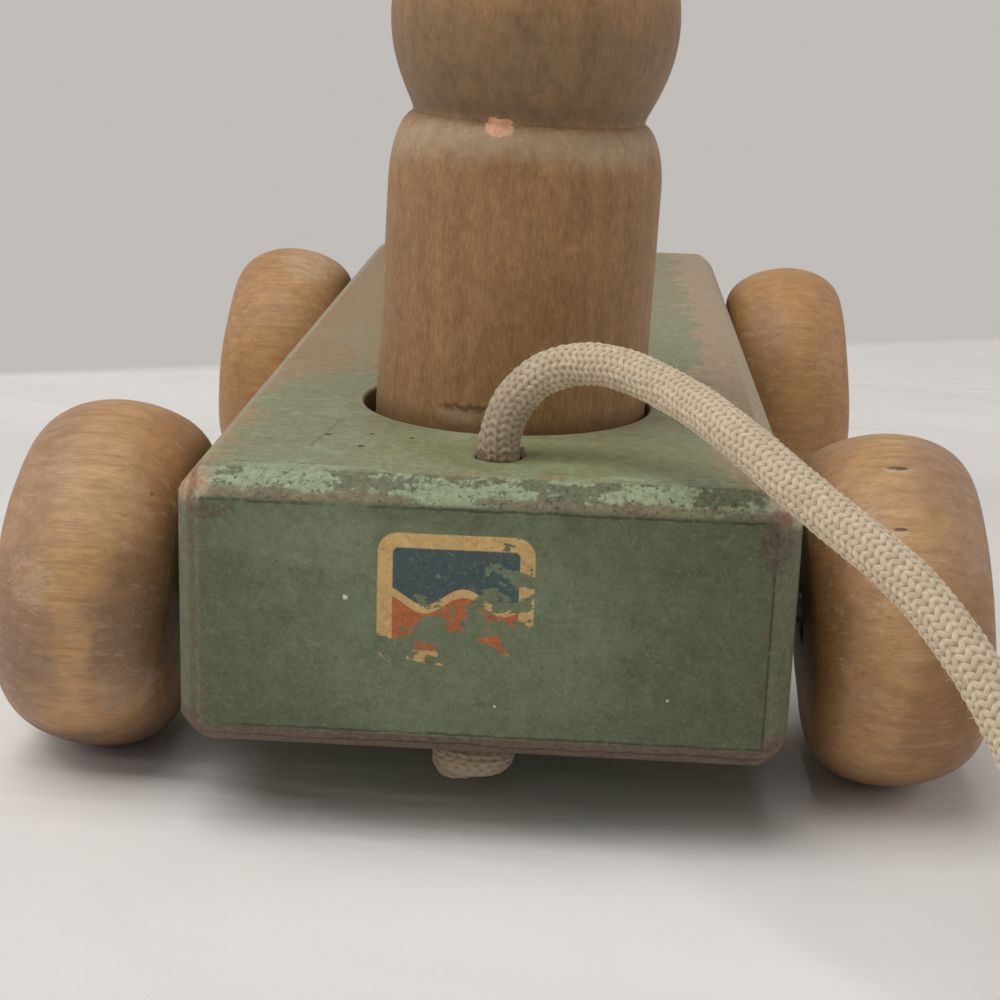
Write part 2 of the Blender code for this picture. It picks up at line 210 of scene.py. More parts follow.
# %% Finishes laid coat by coat
class Finish(Graph):
    """A material that is built round its Principled shader. Lengths are in millimetres."""

    def __init__(self, name):
        self.material = bpy.data.materials.new(name)
        self.material.use_nodes = True
        super().__init__(self.material.node_tree)
        self.shader = self.tree.nodes["Principled BSDF"]
        self.place = self.node("ShaderNodeTexCoord", output="Object")
        self.colour = None

    def parts(self, vector):
        """The three numbers of a vector."""
        split = self.node("ShaderNodeSeparateXYZ", sockets={0: vector}).socket.node
        return [Wire(self.tree, output) for output in split.outputs]

    def millimetres(self):
        return [part * 1000.0 for part in self.parts(self.place)]

    def spread(self, shift, sizes):
        scale = tuple(1000.0 / size for size in sizes)
        return self.node(
            "ShaderNodeMapping", sockets={"Vector": self.place, "Location": shift, "Scale": scale}
        )

    def noise(self, grain, detail=3.0, roughness=0.55, shift=(0, 0, 0), bend=0.0):
        """Cloudy noise whose clouds have one size, or one size for each axis."""
        sizes = grain if isinstance(grain, tuple) else (grain, grain, grain)
        sockets = {"Vector": self.spread(shift, sizes), "Scale": 1.0, "Detail": detail}
        sockets.update({"Roughness": roughness, "Distortion": bend})
        return self.node("ShaderNodeTexNoise", sockets=sockets)

    def step(self, value, low, high):
        """0 below low, 1 above high, with a soft change between. It falls where low is above high."""
        ends = {"From Min": low, "From Max": high, "To Min": 0.0, "To Max": 1.0}
        if low > high:
            ends = {"From Min": high, "From Max": low, "To Min": 1.0, "To Max": 0.0}
        settings = {"interpolation_type": "SMOOTHSTEP"}
        return self.node("ShaderNodeMapRange", settings, {"Value": value, **ends})

    def spot(self, centre, radii, torn=0.0, soft=0.12):
        """1 inside an ellipsoid, 0 outside, with a rim that the noise torn makes ragged."""
        vector = self.spread(tuple(-c / r for c, r in zip(centre, radii)), radii)
        reach = self.node("ShaderNodeVectorMath", {"operation": "LENGTH"}, {0: vector}, output="Value")
        return self.step(reach + torn, 1.0 + soft, 1.0 - soft)

    def ramp(self, value, first, last):
        return self.node("ShaderNodeValToRGB", {"stops": [(0.3, first), (0.7, last)]}, {"Fac": value})

    def tinted(self, value, first, last):
        """A screen colour that follows a noise from one end to the other."""
        return self.ramp(value, linear(*first), linear(*last))

    def mix(self, mask, first, second, blend="MIX"):
        return self.node(
            "ShaderNodeMix",
            {"data_type": "RGBA", "blend_type": blend},
            {0: mask, 6: first, 7: second},
            output=2,
        )

    def coat(self, mask, tone):
        """Lays a screen colour, or the colour of a wire, over the colour so far."""
        self.colour = self.mix(mask, self.colour, tone if isinstance(tone, Wire) else linear(*tone))

    def shade(self, noise, dark, light):
        """Multiplies the colour so far by a brightness that follows a noise."""
        self.colour = self.mix(1.0, self.colour, self.ramp(noise, dark, light), "MULTIPLY")

    def bump(self, height, depth, strength=1.0):
        """A normal from a height of 0 to 1 that stands for a depth."""
        sockets = {"Height": height, "Distance": depth * MM, "Strength": strength}
        return self.node("ShaderNodeBump", sockets=sockets)

    def close(self, **values):
        """Gives the shader the colour so far and its other values, and hands over the material."""
        for name, value in {"Base_Color": self.colour, **values}.items():
            feed(self.tree, self.shader.inputs[name.replace("_", " ")], value)
        return self.material


def dress(piece, material):
    piece.data.materials.clear()
    piece.data.materials.append(material)


print("finishes ready")

# %% [markdown]
# The pull cord is a round plait of soft cotton, a quarter of an inch thick. It rises through the hole
# near the front of the deck, bends over and falls to the floor on the right, out of the picture, where
# the rest of it lies in a flat tied coil. Its route is a row of chosen points, the coil follows a
# formula, and one smooth curve runs through both.

# %% Route of the cord
UNDERSIDE = 13.5715
DECK = 56.1715
CORD_THICK = 6.5
HOLE = (0.7, -105.6)
COIL_CENTRE = (124.0, -138.0)
COIL_RADIUS = 41.0
COIL_PITCH = 7.3
COIL_TURNS = 2.0
COIL_STEPS = 48
COIL_TUCK_TURN = 0.42
COIL_TUCK = 13.5
COIL_HEIGHT = 5.05
LOWEST_IN_HOLE = 30.0
CORD_ROUTE = [
    (*HOLE, LOWEST_IN_HOLE), (*HOLE, 43.4), (*HOLE, DECK), (1.0, -105.5, 60.0),
    (2.6, -105.2, 64.4), (6.0, -104.9, 68.2), (9.8, -105.0, 70.0), (13.0, -105.7, 70.7),
    (16.1, -107.3, 70.9), (19.6, -109.9, 70.6), (22.6, -112.8, 70.0), (25.6, -116.3, 69.2),
    (28.6, -120.4, 68.4), (32.0, -126.0, 67.1), (36.0, -132.0, 65.2), (41.0, -138.6, 62.3),
    (46.2, -144.8, 59.4), (50.3, -149.5, 57.2), (54.2, -153.9, 54.6), (57.2, -157.8, 51.9),
    (60.1, -161.5, 48.6), (62.3, -164.2, 45.6), (64.6, -167.4, 41.8), (67.8, -172.0, 35.4),
    (71.2, -176.0, 27.6), (75.4, -178.8, 19.4), (81.2, -180.0, 12.2), (89.0, -180.0, 7.6),
    (98.0, -179.4, 5.6), (110.7, -179.0, COIL_HEIGHT), (117.2, -179.0, COIL_HEIGHT),
    (124.0, -179.0, COIL_HEIGHT),
]


def coil_point(turn):
    angle = -math.pi / 2 + 2 * math.pi * turn
    tuck = max(0.0, turn - (COIL_TURNS - COIL_TUCK_TURN)) / COIL_TUCK_TURN
    radius = COIL_RADIUS - COIL_PITCH * turn - COIL_TUCK * tuck**2
    x, y = COIL_CENTRE
    return (x + radius * math.cos(angle), y + radius * math.sin(angle), COIL_HEIGHT)


def smooth_path(points, spacing):
    """Points at an even spacing on a smooth curve through the given ones."""
    points = np.array(points, dtype=float)
    ends = np.vstack([2 * points[0] - points[1], points, 2 * points[-1] - points[-2]])
    share = np.linspace(0, 1, 24, endpoint=False)[:, None]
    fine = []
    for a, b, c, d in zip(ends, ends[1:], ends[2:], ends[3:]):
        square, cube = 2 * a - 5 * b + 4 * c - d, 3 * b - a - 3 * c + d
        fine.append(0.5 * (2 * b + (c - a) * share + square * share**2 + cube * share**3))
    fine = np.vstack(fine + [points[-1:]])
    along = np.concatenate([[0], np.cumsum(np.linalg.norm(np.diff(fine, axis=0), axis=1))])
    marks = np.linspace(0, along[-1], max(2, round(along[-1] / spacing)) + 1)
    return np.column_stack([np.interp(marks, along, fine[:, axis]) for axis in range(3)])


coil_route = [coil_point(turn) for turn in np.linspace(0, COIL_TURNS, COIL_STEPS + 1)]
coil_end = np.array(coil_route[-1])
end_heading = coil_end - np.array(coil_route[-2])
end_heading /= np.linalg.norm(end_heading)
coil_route.append(tuple(coil_end + end_heading * CORD_THICK))
cord_line = np.vstack([smooth_path(CORD_ROUTE, 3.0), smooth_path(coil_route, 3.0)[1:]]) * MM

# %% [markdown]
# A plain curve with a bevel would have the cord's route but not its plait, so the cord is a fine tube
# along the route, lifted stitch by stitch: columns of slanting stitches run along it, leaning left and
# right by turns.

# %% Stitches of the plait
COLUMNS = 18
STITCH = 1.2
PLAIT_DEPTH = 0.33
PLAIT_UNEVEN = 0.18


def stitch_height(column, stitch):
    """How far the plait stands up, from 0 to 1, at a place across its columns and along its stitches.

    One family of strands climbs to the right and one to the left. Each goes over two of the other family
    and under the next two, and the upper strand at a place is the one that shows.
    """
    heights = []
    for way in (1.0, -1.0):
        place = column + way * stitch
        strand = np.floor(place) + 0.5
        over = way * np.cos(math.pi / 2 * (strand + column - way * stitch - 1.0))
        rounded = np.sqrt(np.clip(1 - (2 * (place - strand)) ** 2, 0, 1))
        heights.append(0.5 * over + 0.5 * rounded)
    return np.clip(np.maximum(*heights), 0, 1)


def unevenness(column, stitch):
    """A slow irregularity from 0 to 1 that closes on itself round the cord, as worn cotton has."""
    turn = 2 * math.pi * column / COLUMNS
    return 0.5 + 0.5 * np.sin(7 * turn + 2.9 * stitch) * np.sin(5 * turn - 1.9 * stitch + 2.0)


def plaited_rings(path, around, thick):
    """Rings of points along a path, with the column and the stitch of each, as three arrays."""
    along = np.concatenate([[0], np.cumsum(np.linalg.norm(np.diff(path, axis=0), axis=1))])
    heading = np.gradient(path, axis=0)
    heading /= np.linalg.norm(heading, axis=1)[:, None]
    first = np.cross(heading[0], (0.0, 0.0, 1.0))
    if np.linalg.norm(first) < 0.1:
        first = np.cross(heading[0], (1.0, 0.0, 0.0))
    sides = [first / np.linalg.norm(first)]
    for direction in heading[1:]:
        side = sides[-1] - direction * np.dot(sides[-1], direction)
        sides.append(side / np.linalg.norm(side))
    sides = np.array(sides)
    ups = np.cross(heading, sides)
    turn = np.linspace(0, 1, around, endpoint=False)
    stitch = along[:, None] / STITCH
    drift = 0.005 * stitch + 0.3 * np.sin(0.26 * stitch) + 0.2 * np.sin(0.71 * stitch + 1.3)
    column = COLUMNS * turn[None, :] + drift
    sunk = PLAIT_DEPTH * (1 - stitch_height(column, stitch))
    reach = thick / 2 - sunk - PLAIT_UNEVEN * unevenness(column, stitch)
    angle = 2 * math.pi * turn[None, :]
    across = (reach * np.cos(angle))[:, :, None] * sides[:, None, :]
    upward = (reach * np.sin(angle))[:, :, None] * ups[:, None, :]
    return path[:, None, :] + across + upward, column, along / STITCH


print("plait:", COLUMNS, "columns of stitches", STITCH, "mm long")

# %% [markdown]
# The rings of points become one mesh, row by row. A UV map counts columns and stitches, so that the
# cotton's colour can follow them. The coil lies out of the picture and needs only half as many rings, so
# the plait is cut there and the two ends are sunk into each other.

# %% Plaited cord
SPLICE_ROWS = 4
SPLICE_SINK = 0.15


def mesh_piece(name, places, faces):
    """A new mesh from points in millimetres, with an empty UV map for its stitches."""
    mesh = bpy.data.meshes.new(name)
    mesh.from_pydata((np.array(places) * MM).tolist(), [], faces)
    mesh.uv_layers.new(name="plait")
    piece = bpy.data.objects.new(name, mesh)
    bpy.context.scene.collection.objects.link(piece)
    return piece


def plaited_piece(name, tubes):
    """One mesh of plaited tubes, each given as its rings from plaited_rings."""
    places, faces, uvs = [], [], []
    start = 0
    for points, column, stitches in tubes:
        rows, around = column.shape
        places.append(points.reshape(-1, 3))
        ring = np.arange(around)
        following = (ring + 1) % around
        step = COLUMNS / around
        for row in range(rows - 1):
            low, high = start + row * around, start + (row + 1) * around
            quads = np.column_stack([low + ring, low + following, high + following, high + ring])
            faces += quads.tolist()
            here, there = column[row], column[row + 1]
            low_stitch, high_stitch = np.full(around, stitches[row]), np.full(around, stitches[row + 1])
            corners = [(here, low_stitch), (here + step, low_stitch)]
            corners += [(there + step, high_stitch), (there, high_stitch)]
            uvs.append(np.stack([np.column_stack(pair) for pair in corners], axis=1).reshape(-1, 2))
        last = start + (rows - 1) * around
        for cap, order in ((start, ring[::-1]), (last, ring)):
            faces.append((cap + order).tolist())
            uvs.append(np.column_stack([order, np.zeros(around)]))
        start += rows * around
    piece = mesh_piece(name, np.vstack(places), faces)
    piece.data.uv_layers["plait"].data.foreach_set("uv", np.vstack(uvs).ravel())
    piece.data.shade_smooth()
    return piece


cord_path = smooth_path(CORD_ROUTE + coil_route[1:], STITCH / 4)
coil_row = int(np.argmin(np.linalg.norm(cord_path - np.array(coil_route[0]), axis=1)))
rings = plaited_rings(cord_path, 4 * COLUMNS, CORD_THICK)
stretch_rings = [part[: coil_row + SPLICE_ROWS + 1].copy() for part in rings]
coil_rings = [rings[0][coil_row::2, ::2].copy(), rings[1][coil_row::2, ::2], rings[2][coil_row::2]]
for points, row in ((stretch_rings[0], -1), (coil_rings[0], 0)):
    points[row] += (points[row].mean(axis=0) - points[row]) * SPLICE_SINK
cord = plaited_piece("cotton_pull_cord", [stretch_rings, coil_rings])
print("cord:", len(cord.data.polygons), "faces")

# %% [markdown]
# Soft cotton is never quite smooth. Short loose fibres stand off the plait, and where the cord rubs in
# its hole they have frayed into a small collar. Both are thin three-sided hairs, each bent once.

# %% Loose fibres
HAIR_THICK = 0.06
FRAY_THICK = 1.6 * HAIR_THICK
FUZZ_FROM_ROW = 60
FUZZ_HAIRS = 2200
FUZZ_LONG = (0.35, 1.0)
FUZZ_ROOT = CORD_THICK / 2 - 0.2
FRAY_HAIRS = 150
FRAY_ROOT = CORD_THICK / 2 - 0.25
chance = np.random.default_rng(11)


def hair_piece(name, curves, thick):
    """One mesh of thin hairs. Each curve is a row of points, and each hair ends in a point."""
    places, faces = [], []
    for curve in curves:
        curve = np.array(curve)
        heading = curve[-1] - curve[0]
        side = np.cross(heading, (0.31, 0.52, 0.8))
        side /= np.linalg.norm(side)
        up = np.cross(heading / np.linalg.norm(heading), side)
        start = len(places)
        for point in curve[:-1]:
            for turn in (0.0, 2 * math.pi / 3, 4 * math.pi / 3):
                places.append(tuple(point + thick / 2 * (side * math.cos(turn) + up * math.sin(turn))))
        places.append(tuple(curve[-1]))
        rows = len(curve) - 1
        for row in range(rows - 1):
            low, high = start + 3 * row, start + 3 * row + 3
            faces += [(low + k, low + (k + 1) % 3, high + (k + 1) % 3, high + k) for k in range(3)]
        low, tip = start + 3 * (rows - 1), start + 3 * rows
        faces += [(low + k, low + (k + 1) % 3, tip) for k in range(3)]
        faces.append((start + 2, start + 1, start))
    return mesh_piece(name, places, faces)


def fuzz_curves(path, count):
    """Hairs that leave the cord's surface at a slant, at random places along a path."""
    curves = []
    for row in chance.integers(10, len(path) - 10, count):
        forward = path[row + 3] - path[row - 3]
        forward /= np.linalg.norm(forward)
        out = np.cross(forward, chance.normal(size=3))
        out /= np.linalg.norm(out)
        lean = forward * chance.uniform(-1.1, 1.1) + np.cross(forward, out) * chance.uniform(-0.8, 0.8)
        long = chance.uniform(*FUZZ_LONG)
        root = path[row] + out * FUZZ_ROOT
        middle = root + (out + 0.5 * lean) * long * 0.55
        curves.append([root, middle, middle + (0.5 * out + lean) * long * 0.5])
    return curves


def fray_curves(count):
    """Hairs that stand round the cord's foot and droop to the deck."""
    curves = []
    for turn in chance.uniform(0, 2 * math.pi, count):
        out = np.array((math.cos(turn), math.sin(turn), 0.0))
        root = np.array((*HOLE, DECK + chance.uniform(0.1, 1.5))) + out * FRAY_ROOT
        middle = root + out * chance.uniform(0.4, 0.9) + np.array((*chance.normal(0, 0.25, 2), 0.15))
        tip = middle + out * chance.uniform(0.1, 0.9) + np.array((*chance.normal(0, 0.4, 2), 0.0))
        tip[2] = DECK + chance.uniform(0.08, 0.5)
        curves.append([root, middle, tip])
    return curves


fuzz = hair_piece("cord_fuzz", fuzz_curves(cord_path[FUZZ_FROM_ROW:], FUZZ_HAIRS), HAIR_THICK)
fray = hair_piece("cord_fray", fray_curves(FRAY_HAIRS), FRAY_THICK)
print("loose fibres:", len(fuzz.data.polygons) + len(fray.data.polygons), "faces")

# %% [markdown]
# A knot is the same plait pulled tight round itself: a turn and a half lie on each other, and the end
# comes out below. Under the block it stops the cord; at the far end it keeps the plait from opening and
# gives a grip.

# %% Knots
KNOT_TURNS = 1.6
KNOT_TURN_RADIUS = 3.75
KNOT_STEPS = 60


def knot_path(fall, tail):
    """A tight wrap that sinks as it turns round the cord, with a short tail on its way out."""
    points = []
    for step in range(KNOT_STEPS + 1):
        share = step / KNOT_STEPS
        angle = 2 * math.pi * KNOT_TURNS * share
        radius = KNOT_TURN_RADIUS * min(1.0, 6 * share)
        points.append((radius * math.cos(angle), radius * math.sin(angle), -fall * share))
    x, y, z = points[-1]
    points.append((0.45 * x, 0.45 * y, z - 0.35 * tail))
    points.append((0.2 * x, 0.2 * y, z - tail))
    return np.array(points)


def knot_piece(name, lead, turned, place, fall, tail, thick):
    """A plaited knot at the end of a short lead, turned and put in its place."""
    path = smooth_path(np.vstack([np.array(lead), knot_path(fall, tail)]), STITCH / 3)
    piece = plaited_piece(name, [plaited_rings(path, 3 * COLUMNS, thick)])
    points = np.empty(len(piece.data.vertices) * 3)
    piece.data.vertices.foreach_get("co", points)
    points = points.reshape(-1, 3) @ np.array(turned).T + np.array(place) * MM
    piece.data.vertices.foreach_set("co", points.ravel())
    piece.data.update()
    return piece


stop_lead = [(2.4, 0.0, 16.0), (2.4, 0.0, 9.0), (2.2, 0.0, 4.2)]
stop_at = (-1.7, HOLE[1], UNDERSIDE - 3.5)
stop_size = {"fall": 2.2, "tail": 1.2, "thick": 5.6}
stop_knot = knot_piece("cord_stop_knot_plaited", stop_lead, np.eye(3), stop_at, **stop_size)
sideways = np.column_stack([(-end_heading[1], end_heading[0], 0.0), (0.0, 0.0, 1.0), -end_heading])
if np.linalg.det(sideways) < 0:
    sideways[:, 1] *= -1
end_lead = [(0.0, 0.0, 5.4), (0.0, 0.0, 3.2)]
end_at = coil_end + end_heading * (CORD_THICK + 3.4)
end_size = {"fall": 4.5, "tail": 2.2, "thick": 4.2}
end_knot = knot_piece("cord_end_knot_plaited", end_lead, sideways, end_at, **end_size)
print("knots:", len(stop_knot.data.polygons) + len(end_knot.data.polygons), "faces")

# %% [markdown]
# Work by hand repeats a few moves: select one object alone, apply its modifiers, put its place into its
# mesh, smooth its faces, pick points by their place. Each of them gets a short name here.


# %% Moves for work by hand
def only(piece):
    """Selects one object alone and makes it the active one."""
    bpy.ops.object.select_all(action="DESELECT")
    piece.select_set(True)
    bpy.context.view_layer.objects.active = piece


def apply_modifiers(piece):
    only(piece)
    for modifier in list(piece.modifiers):
        bpy.ops.object.modifier_apply(modifier=modifier.name)


def settle(piece):
    """Puts an object's place and turn into its mesh, so that the object sits at the origin."""
    only(piece)
    bpy.ops.object.transform_apply(location=True, rotation=True, scale=True)


def smooth(piece, degrees):
    only(piece)
    bpy.ops.object.shade_smooth_by_angle(angle=math.radians(degrees))


def pick(piece, wanted):
    """Selects the vertices that a test of their place accepts, in edit mode."""
    bpy.ops.mesh.select_all(action="DESELECT")
    bpy.ops.object.mode_set(mode="OBJECT")
    for vertex in piece.data.vertices:
        vertex.select = wanted(vertex.co)
    bpy.ops.object.mode_set(mode="EDIT")


print("moves ready")

# %% [markdown]
# A flat cotton tie holds the coil's two turns together. It starts as a circle in edit mode: its two
# halves are pulled apart until it goes round both turns, its rim is extruded to the tape's width, and a
# Solidify and a Bevel modifier give the tape its thickness and its soft edges.

# %% Tie round the coil
TIE_TURN = 0.45
TIE_GAP = 0.4
TIE_THICK = 1.2
TIE_WIDE = 5.0
TIE_STRIPS = 8
TIE_SOFT = 0.3


def make_tie():
    outer, inner = np.array(coil_point(TIE_TURN)), np.array(coil_point(TIE_TURN + 1))
    across = outer - inner
    half = np.linalg.norm(across) / 2 * MM
    bpy.ops.object.select_all(action="DESELECT")
    room = (CORD_THICK / 2 + TIE_GAP) * MM
    bpy.ops.mesh.primitive_circle_add(vertices=64, radius=room, rotation=(math.pi / 2, 0, 0))
    tie = bpy.context.object
    tie.name = "coil_tie_tape"
    settle(tie)
    bpy.ops.object.mode_set(mode="EDIT")
    pick(tie, lambda co: co.x > 1e-6)
    bpy.ops.transform.translate(value=(half, 0, 0))
    pick(tie, lambda co: co.x < -1e-6)
    bpy.ops.transform.translate(value=(-half, 0, 0))
    bpy.ops.mesh.select_all(action="SELECT")
    bpy.ops.transform.translate(value=(0, -TIE_WIDE / 2 * MM, 0))
    move = (0, TIE_WIDE / TIE_STRIPS * MM, 0)
    for strip in range(TIE_STRIPS):
        bpy.ops.mesh.extrude_region_move(TRANSFORM_OT_translate={"value": move})
    bpy.ops.mesh.select_all(action="SELECT")
    bpy.ops.mesh.normals_make_consistent(inside=False)
    bpy.ops.object.mode_set(mode="OBJECT")
    wall = tie.modifiers.new("wall", "SOLIDIFY")
    wall.thickness = TIE_THICK * MM
    wall.offset = 1.0
    soft = tie.modifiers.new("soft", "BEVEL")
    soft.width = TIE_SOFT * MM
    soft.segments = 2
    apply_modifiers(tie)
    tie.location = tuple((outer + inner) / 2 * MM)
    tie.rotation_euler = (0, 0, math.atan2(across[1], across[0]))
    settle(tie)
    smooth(tie, degrees=40)
    return tie


coil_tie = make_tie()
print("tie:", len(coil_tie.data.polygons), "faces")

# %% [markdown]
# Wheels and peg are turned on a lathe, and Spin is Blender's lathe. A single vertex is extruded from
# point to point into half the outline, and the outline is spun once round its axis. Clouds then push the
# surface in and out a little, as years of handling do.

# %% Lathe
LATHE_STEPS = 128
WELD = 0.001 * MM


def lathe(name, outline, axis, closed):
    """Extrudes one vertex along an outline of (along, out) points and spins it round an axis, X or Z."""
    bpy.ops.object.select_all(action="DESELECT")
    bpy.ops.mesh.primitive_plane_add(size=MM)
    piece = bpy.context.object
    piece.name = name

    def at(point):
        along, out = point[0] * MM, point[1] * MM
        return np.array((along, 0, out)) if axis == "X" else np.array((out, 0, along))

    bpy.ops.object.mode_set(mode="EDIT")
    bpy.ops.mesh.select_all(action="SELECT")
    bpy.ops.mesh.merge(type="CENTER")
    bpy.ops.transform.translate(value=tuple(at(outline[0])))
    for here, there in zip(outline, outline[1:] + ([outline[0]] if closed else [])):
        move = tuple(at(there) - at(here))
        bpy.ops.mesh.extrude_region_move(TRANSFORM_OT_translate={"value": move})
    bpy.ops.mesh.select_all(action="SELECT")
    bpy.ops.mesh.remove_doubles(threshold=WELD)
    way = (1, 0, 0) if axis == "X" else (0, 0, 1)
    bpy.ops.mesh.spin(steps=LATHE_STEPS, angle=2 * math.pi, center=(0, 0, 0), axis=way)
    bpy.ops.mesh.select_all(action="SELECT")
    bpy.ops.mesh.remove_doubles(threshold=WELD)
    bpy.ops.mesh.dissolve_degenerate(threshold=WELD)
    bpy.ops.mesh.select_all(action="SELECT")
    bpy.ops.mesh.normals_make_consistent(inside=False)
    bpy.ops.object.mode_set(mode="OBJECT")
    return piece


def arc(centre, radii, start, end, steps):
    """Points of an elliptic arc as (along, out), from one angle to another, in degrees."""
    angles = np.radians(np.linspace(start, end, steps + 1))
    return [(centre[0] + radii[0] * math.cos(a), centre[1] + radii[1] * math.sin(a)) for a in angles]


def uneven(piece, depth, size):
    """Moves a turned surface a little in and out."""
    clouds = bpy.data.textures.new(piece.name + "_clouds", "CLOUDS")
    clouds.noise_scale = size * MM
    clouds.noise_depth = 1
    push = piece.modifiers.new("uneven", "DISPLACE")
    push.texture = clouds
    push.texture_coords = "LOCAL"
    push.strength = depth * MM
    push.mid_level = 0.5
    apply_modifiers(piece)


print("lathe ready")

# %% [markdown]
# The wheels are fat barrels: their tread is half an ellipse between two flat faces, with a wide bore and
# a sunk seat for the screw head. One wheel is spun, and the four are copies of it, each with its own mesh
# and its lean.

# %% Barrel wheels
WHEEL_RADIUS = 28.4
WHEEL_HALF = 13.6
WHEEL_FACE = 20.1
WHEEL_LEAN = math.radians(5.5)
WHEEL_BORE = 3.3 + WHEEL_HALF * math.tan(WHEEL_LEAN)
WHEEL_SOFT = 0.7
WHEEL_UNEVEN = (0.35, 14)
SEAT_RADIUS = 10.5
SEAT_DEPTH = 8.0
AXLE_Z = 28.3715
FRONT_AXLE_Y = -85.0
REAR_AXLE_Y = 92.0
WHEEL_X = 63.087
TREAD_STEPS = 44
WHEEL_PLACES = {
    "front_left": (-1, FRONT_AXLE_Y),
    "front_right": (1, FRONT_AXLE_Y),
    "rear_left": (-1, REAR_AXLE_Y),
    "rear_right": (1, REAR_AXLE_Y),
}


def wheel_outline():
    soft = (WHEEL_SOFT, WHEEL_SOFT)
    seat = WHEEL_HALF - SEAT_DEPTH
    outline = arc((WHEEL_SOFT - WHEEL_HALF, WHEEL_BORE + WHEEL_SOFT), soft, 270, 180, 3)
    outline += [(-WHEEL_HALF, share * WHEEL_FACE + (1 - share) * WHEEL_BORE) for share in (0.4, 0.7)]
    outline += arc((0, WHEEL_FACE), (WHEEL_HALF, WHEEL_RADIUS - WHEEL_FACE), 180, 0, TREAD_STEPS)
    outline += [(WHEEL_HALF, 0.5 * (WHEEL_FACE + SEAT_RADIUS))]
    outline += arc((WHEEL_HALF - WHEEL_SOFT, SEAT_RADIUS + WHEEL_SOFT), soft, 0, -90, 3)
    outline += [(seat + 0.4, SEAT_RADIUS), (seat, SEAT_RADIUS - 0.4), (seat, WHEEL_BORE + 0.3)]
    return outline + [(seat - 0.3, WHEEL_BORE), (-6.0, WHEEL_BORE)]


pattern_wheel = lathe("pattern_wheel", wheel_outline(), "X", closed=True)
wheels = {}
for place, (side, axle_y) in WHEEL_PLACES.items():
    wheel = pattern_wheel.copy()
    wheel.data = pattern_wheel.data.copy()
    wheel.name = "barrel_wheel_" + place
    bpy.context.scene.collection.objects.link(wheel)
    wheel.location = (side * WHEEL_X * MM, axle_y * MM, AXLE_Z * MM)
    wheel.rotation_euler = (0, -WHEEL_LEAN, 0 if side > 0 else math.pi)
    settle(wheel)
    uneven(wheel, *WHEEL_UNEVEN)
    smooth(wheel, degrees=38)
    wheels[place] = wheel
bpy.data.objects.remove(pattern_wheel)
print("wheels:", {name: len(wheel.data.polygons) for name, wheel in wheels.items()})

# %% [markdown]
# The peg is a plain turned figure: a nearly straight body that stands loose in the socket, a round
# shoulder, a groove for a neck and a ball for a head. The same lathe makes it from half its outline. A
# real gouge leaves no knife-sharp groove, so the bottom of the neck is filled a little.

# %% Peg driver
PEG_RADIUS = 22.5
PEG_WAIST = 22.2
PEG_FOOT = 17.993
PEG_FOOT_FLAT = 12.0
PEG_FOOT_BREAK = 1.5
PEG_NECK = 47.0
PEG_NECK_RADIUS = 17.7
PEG_NECK_ROUND = 1.0
PEG_NECK_FILLED = 4.5
PEG_SHOULDER = 11.0
PEG_HEAD = 23.0
PEG_HEAD_HALF = 24.0
PEG_LEAN = math.radians(1.8)
PEG_SHIFT = 0.6
PEG_UNEVEN = (0.25, 18)
SHOULDER_STEPS = 20
HEAD_STEPS = 48
SOCKET_Y = -67.7


def rounded_neck(out):
    """Fills the bottom of the groove under the head, and leaves the rest of the outline alone."""
    above = out - PEG_NECK_RADIUS
    fill = PEG_NECK_ROUND * max(0.0, 1 - (above / PEG_NECK_FILLED) ** 2)
    return PEG_NECK_RADIUS + math.hypot(above, fill)


def peg_outline():
    shoulder = PEG_NECK - PEG_SHOULDER
    head_at = PEG_NECK + PEG_HEAD_HALF * math.sqrt(1 - (PEG_NECK_RADIUS / PEG_HEAD) ** 2)
    neck_angle = math.asin(PEG_NECK_RADIUS / PEG_HEAD)
    foot_edge = PEG_RADIUS - PEG_FOOT_BREAK
    points = [(-PEG_FOOT, 0), (-PEG_FOOT, PEG_FOOT_FLAT), (-PEG_FOOT, foot_edge)]
    points += arc((PEG_FOOT_BREAK - PEG_FOOT, foot_edge), (PEG_FOOT_BREAK,) * 2, 180, 90, 4)[1:]
    points += [(-PEG_FOOT + PEG_FOOT * share, PEG_RADIUS) for share in np.linspace(0.15, 1, 8)]
    for share in np.linspace(0.1, 1, 10):
        points.append((shoulder * share, PEG_RADIUS + (PEG_WAIST - PEG_RADIUS) * min(1, 2 * share)))
    for step in range(1, SHOULDER_STEPS):
        bend = math.pi / 2 * step / SHOULDER_STEPS
        out = PEG_NECK_RADIUS + (PEG_WAIST - PEG_NECK_RADIUS) * math.cos(bend) ** 0.9
        points.append((shoulder + PEG_SHOULDER * math.sin(bend), rounded_neck(out)))
    points.append((PEG_NECK, rounded_neck(PEG_NECK_RADIUS)))
    for step in range(1, HEAD_STEPS + 1):
        bend = (math.pi - neck_angle) * (1 - step / HEAD_STEPS)
        out = PEG_HEAD * math.sin(bend)
        rounded = rounded_neck(out) if bend > math.pi / 2 else out
        points.append((head_at + PEG_HEAD_HALF * math.cos(bend), rounded))
    return points


peg = lathe("turned_peg_driver", peg_outline(), "Z", closed=False)
peg.location = (PEG_SHIFT * MM, SOCKET_Y * MM, DECK * MM)
peg.rotation_euler = (0, PEG_LEAN, 0)
settle(peg)
uneven(peg, *PEG_UNEVEN)
smooth(peg, degrees=50)
print("peg:", len(peg.data.polygons), "faces")

# %% [markdown]
# The block is a length of board with its edges broken, so it starts as a cube with a bevel. The socket,
# the cord hole and the screw holes are cut with Boolean modifiers, as they would be drilled, and the rims
# of the two holes in the deck get a small worn bevel of their own.

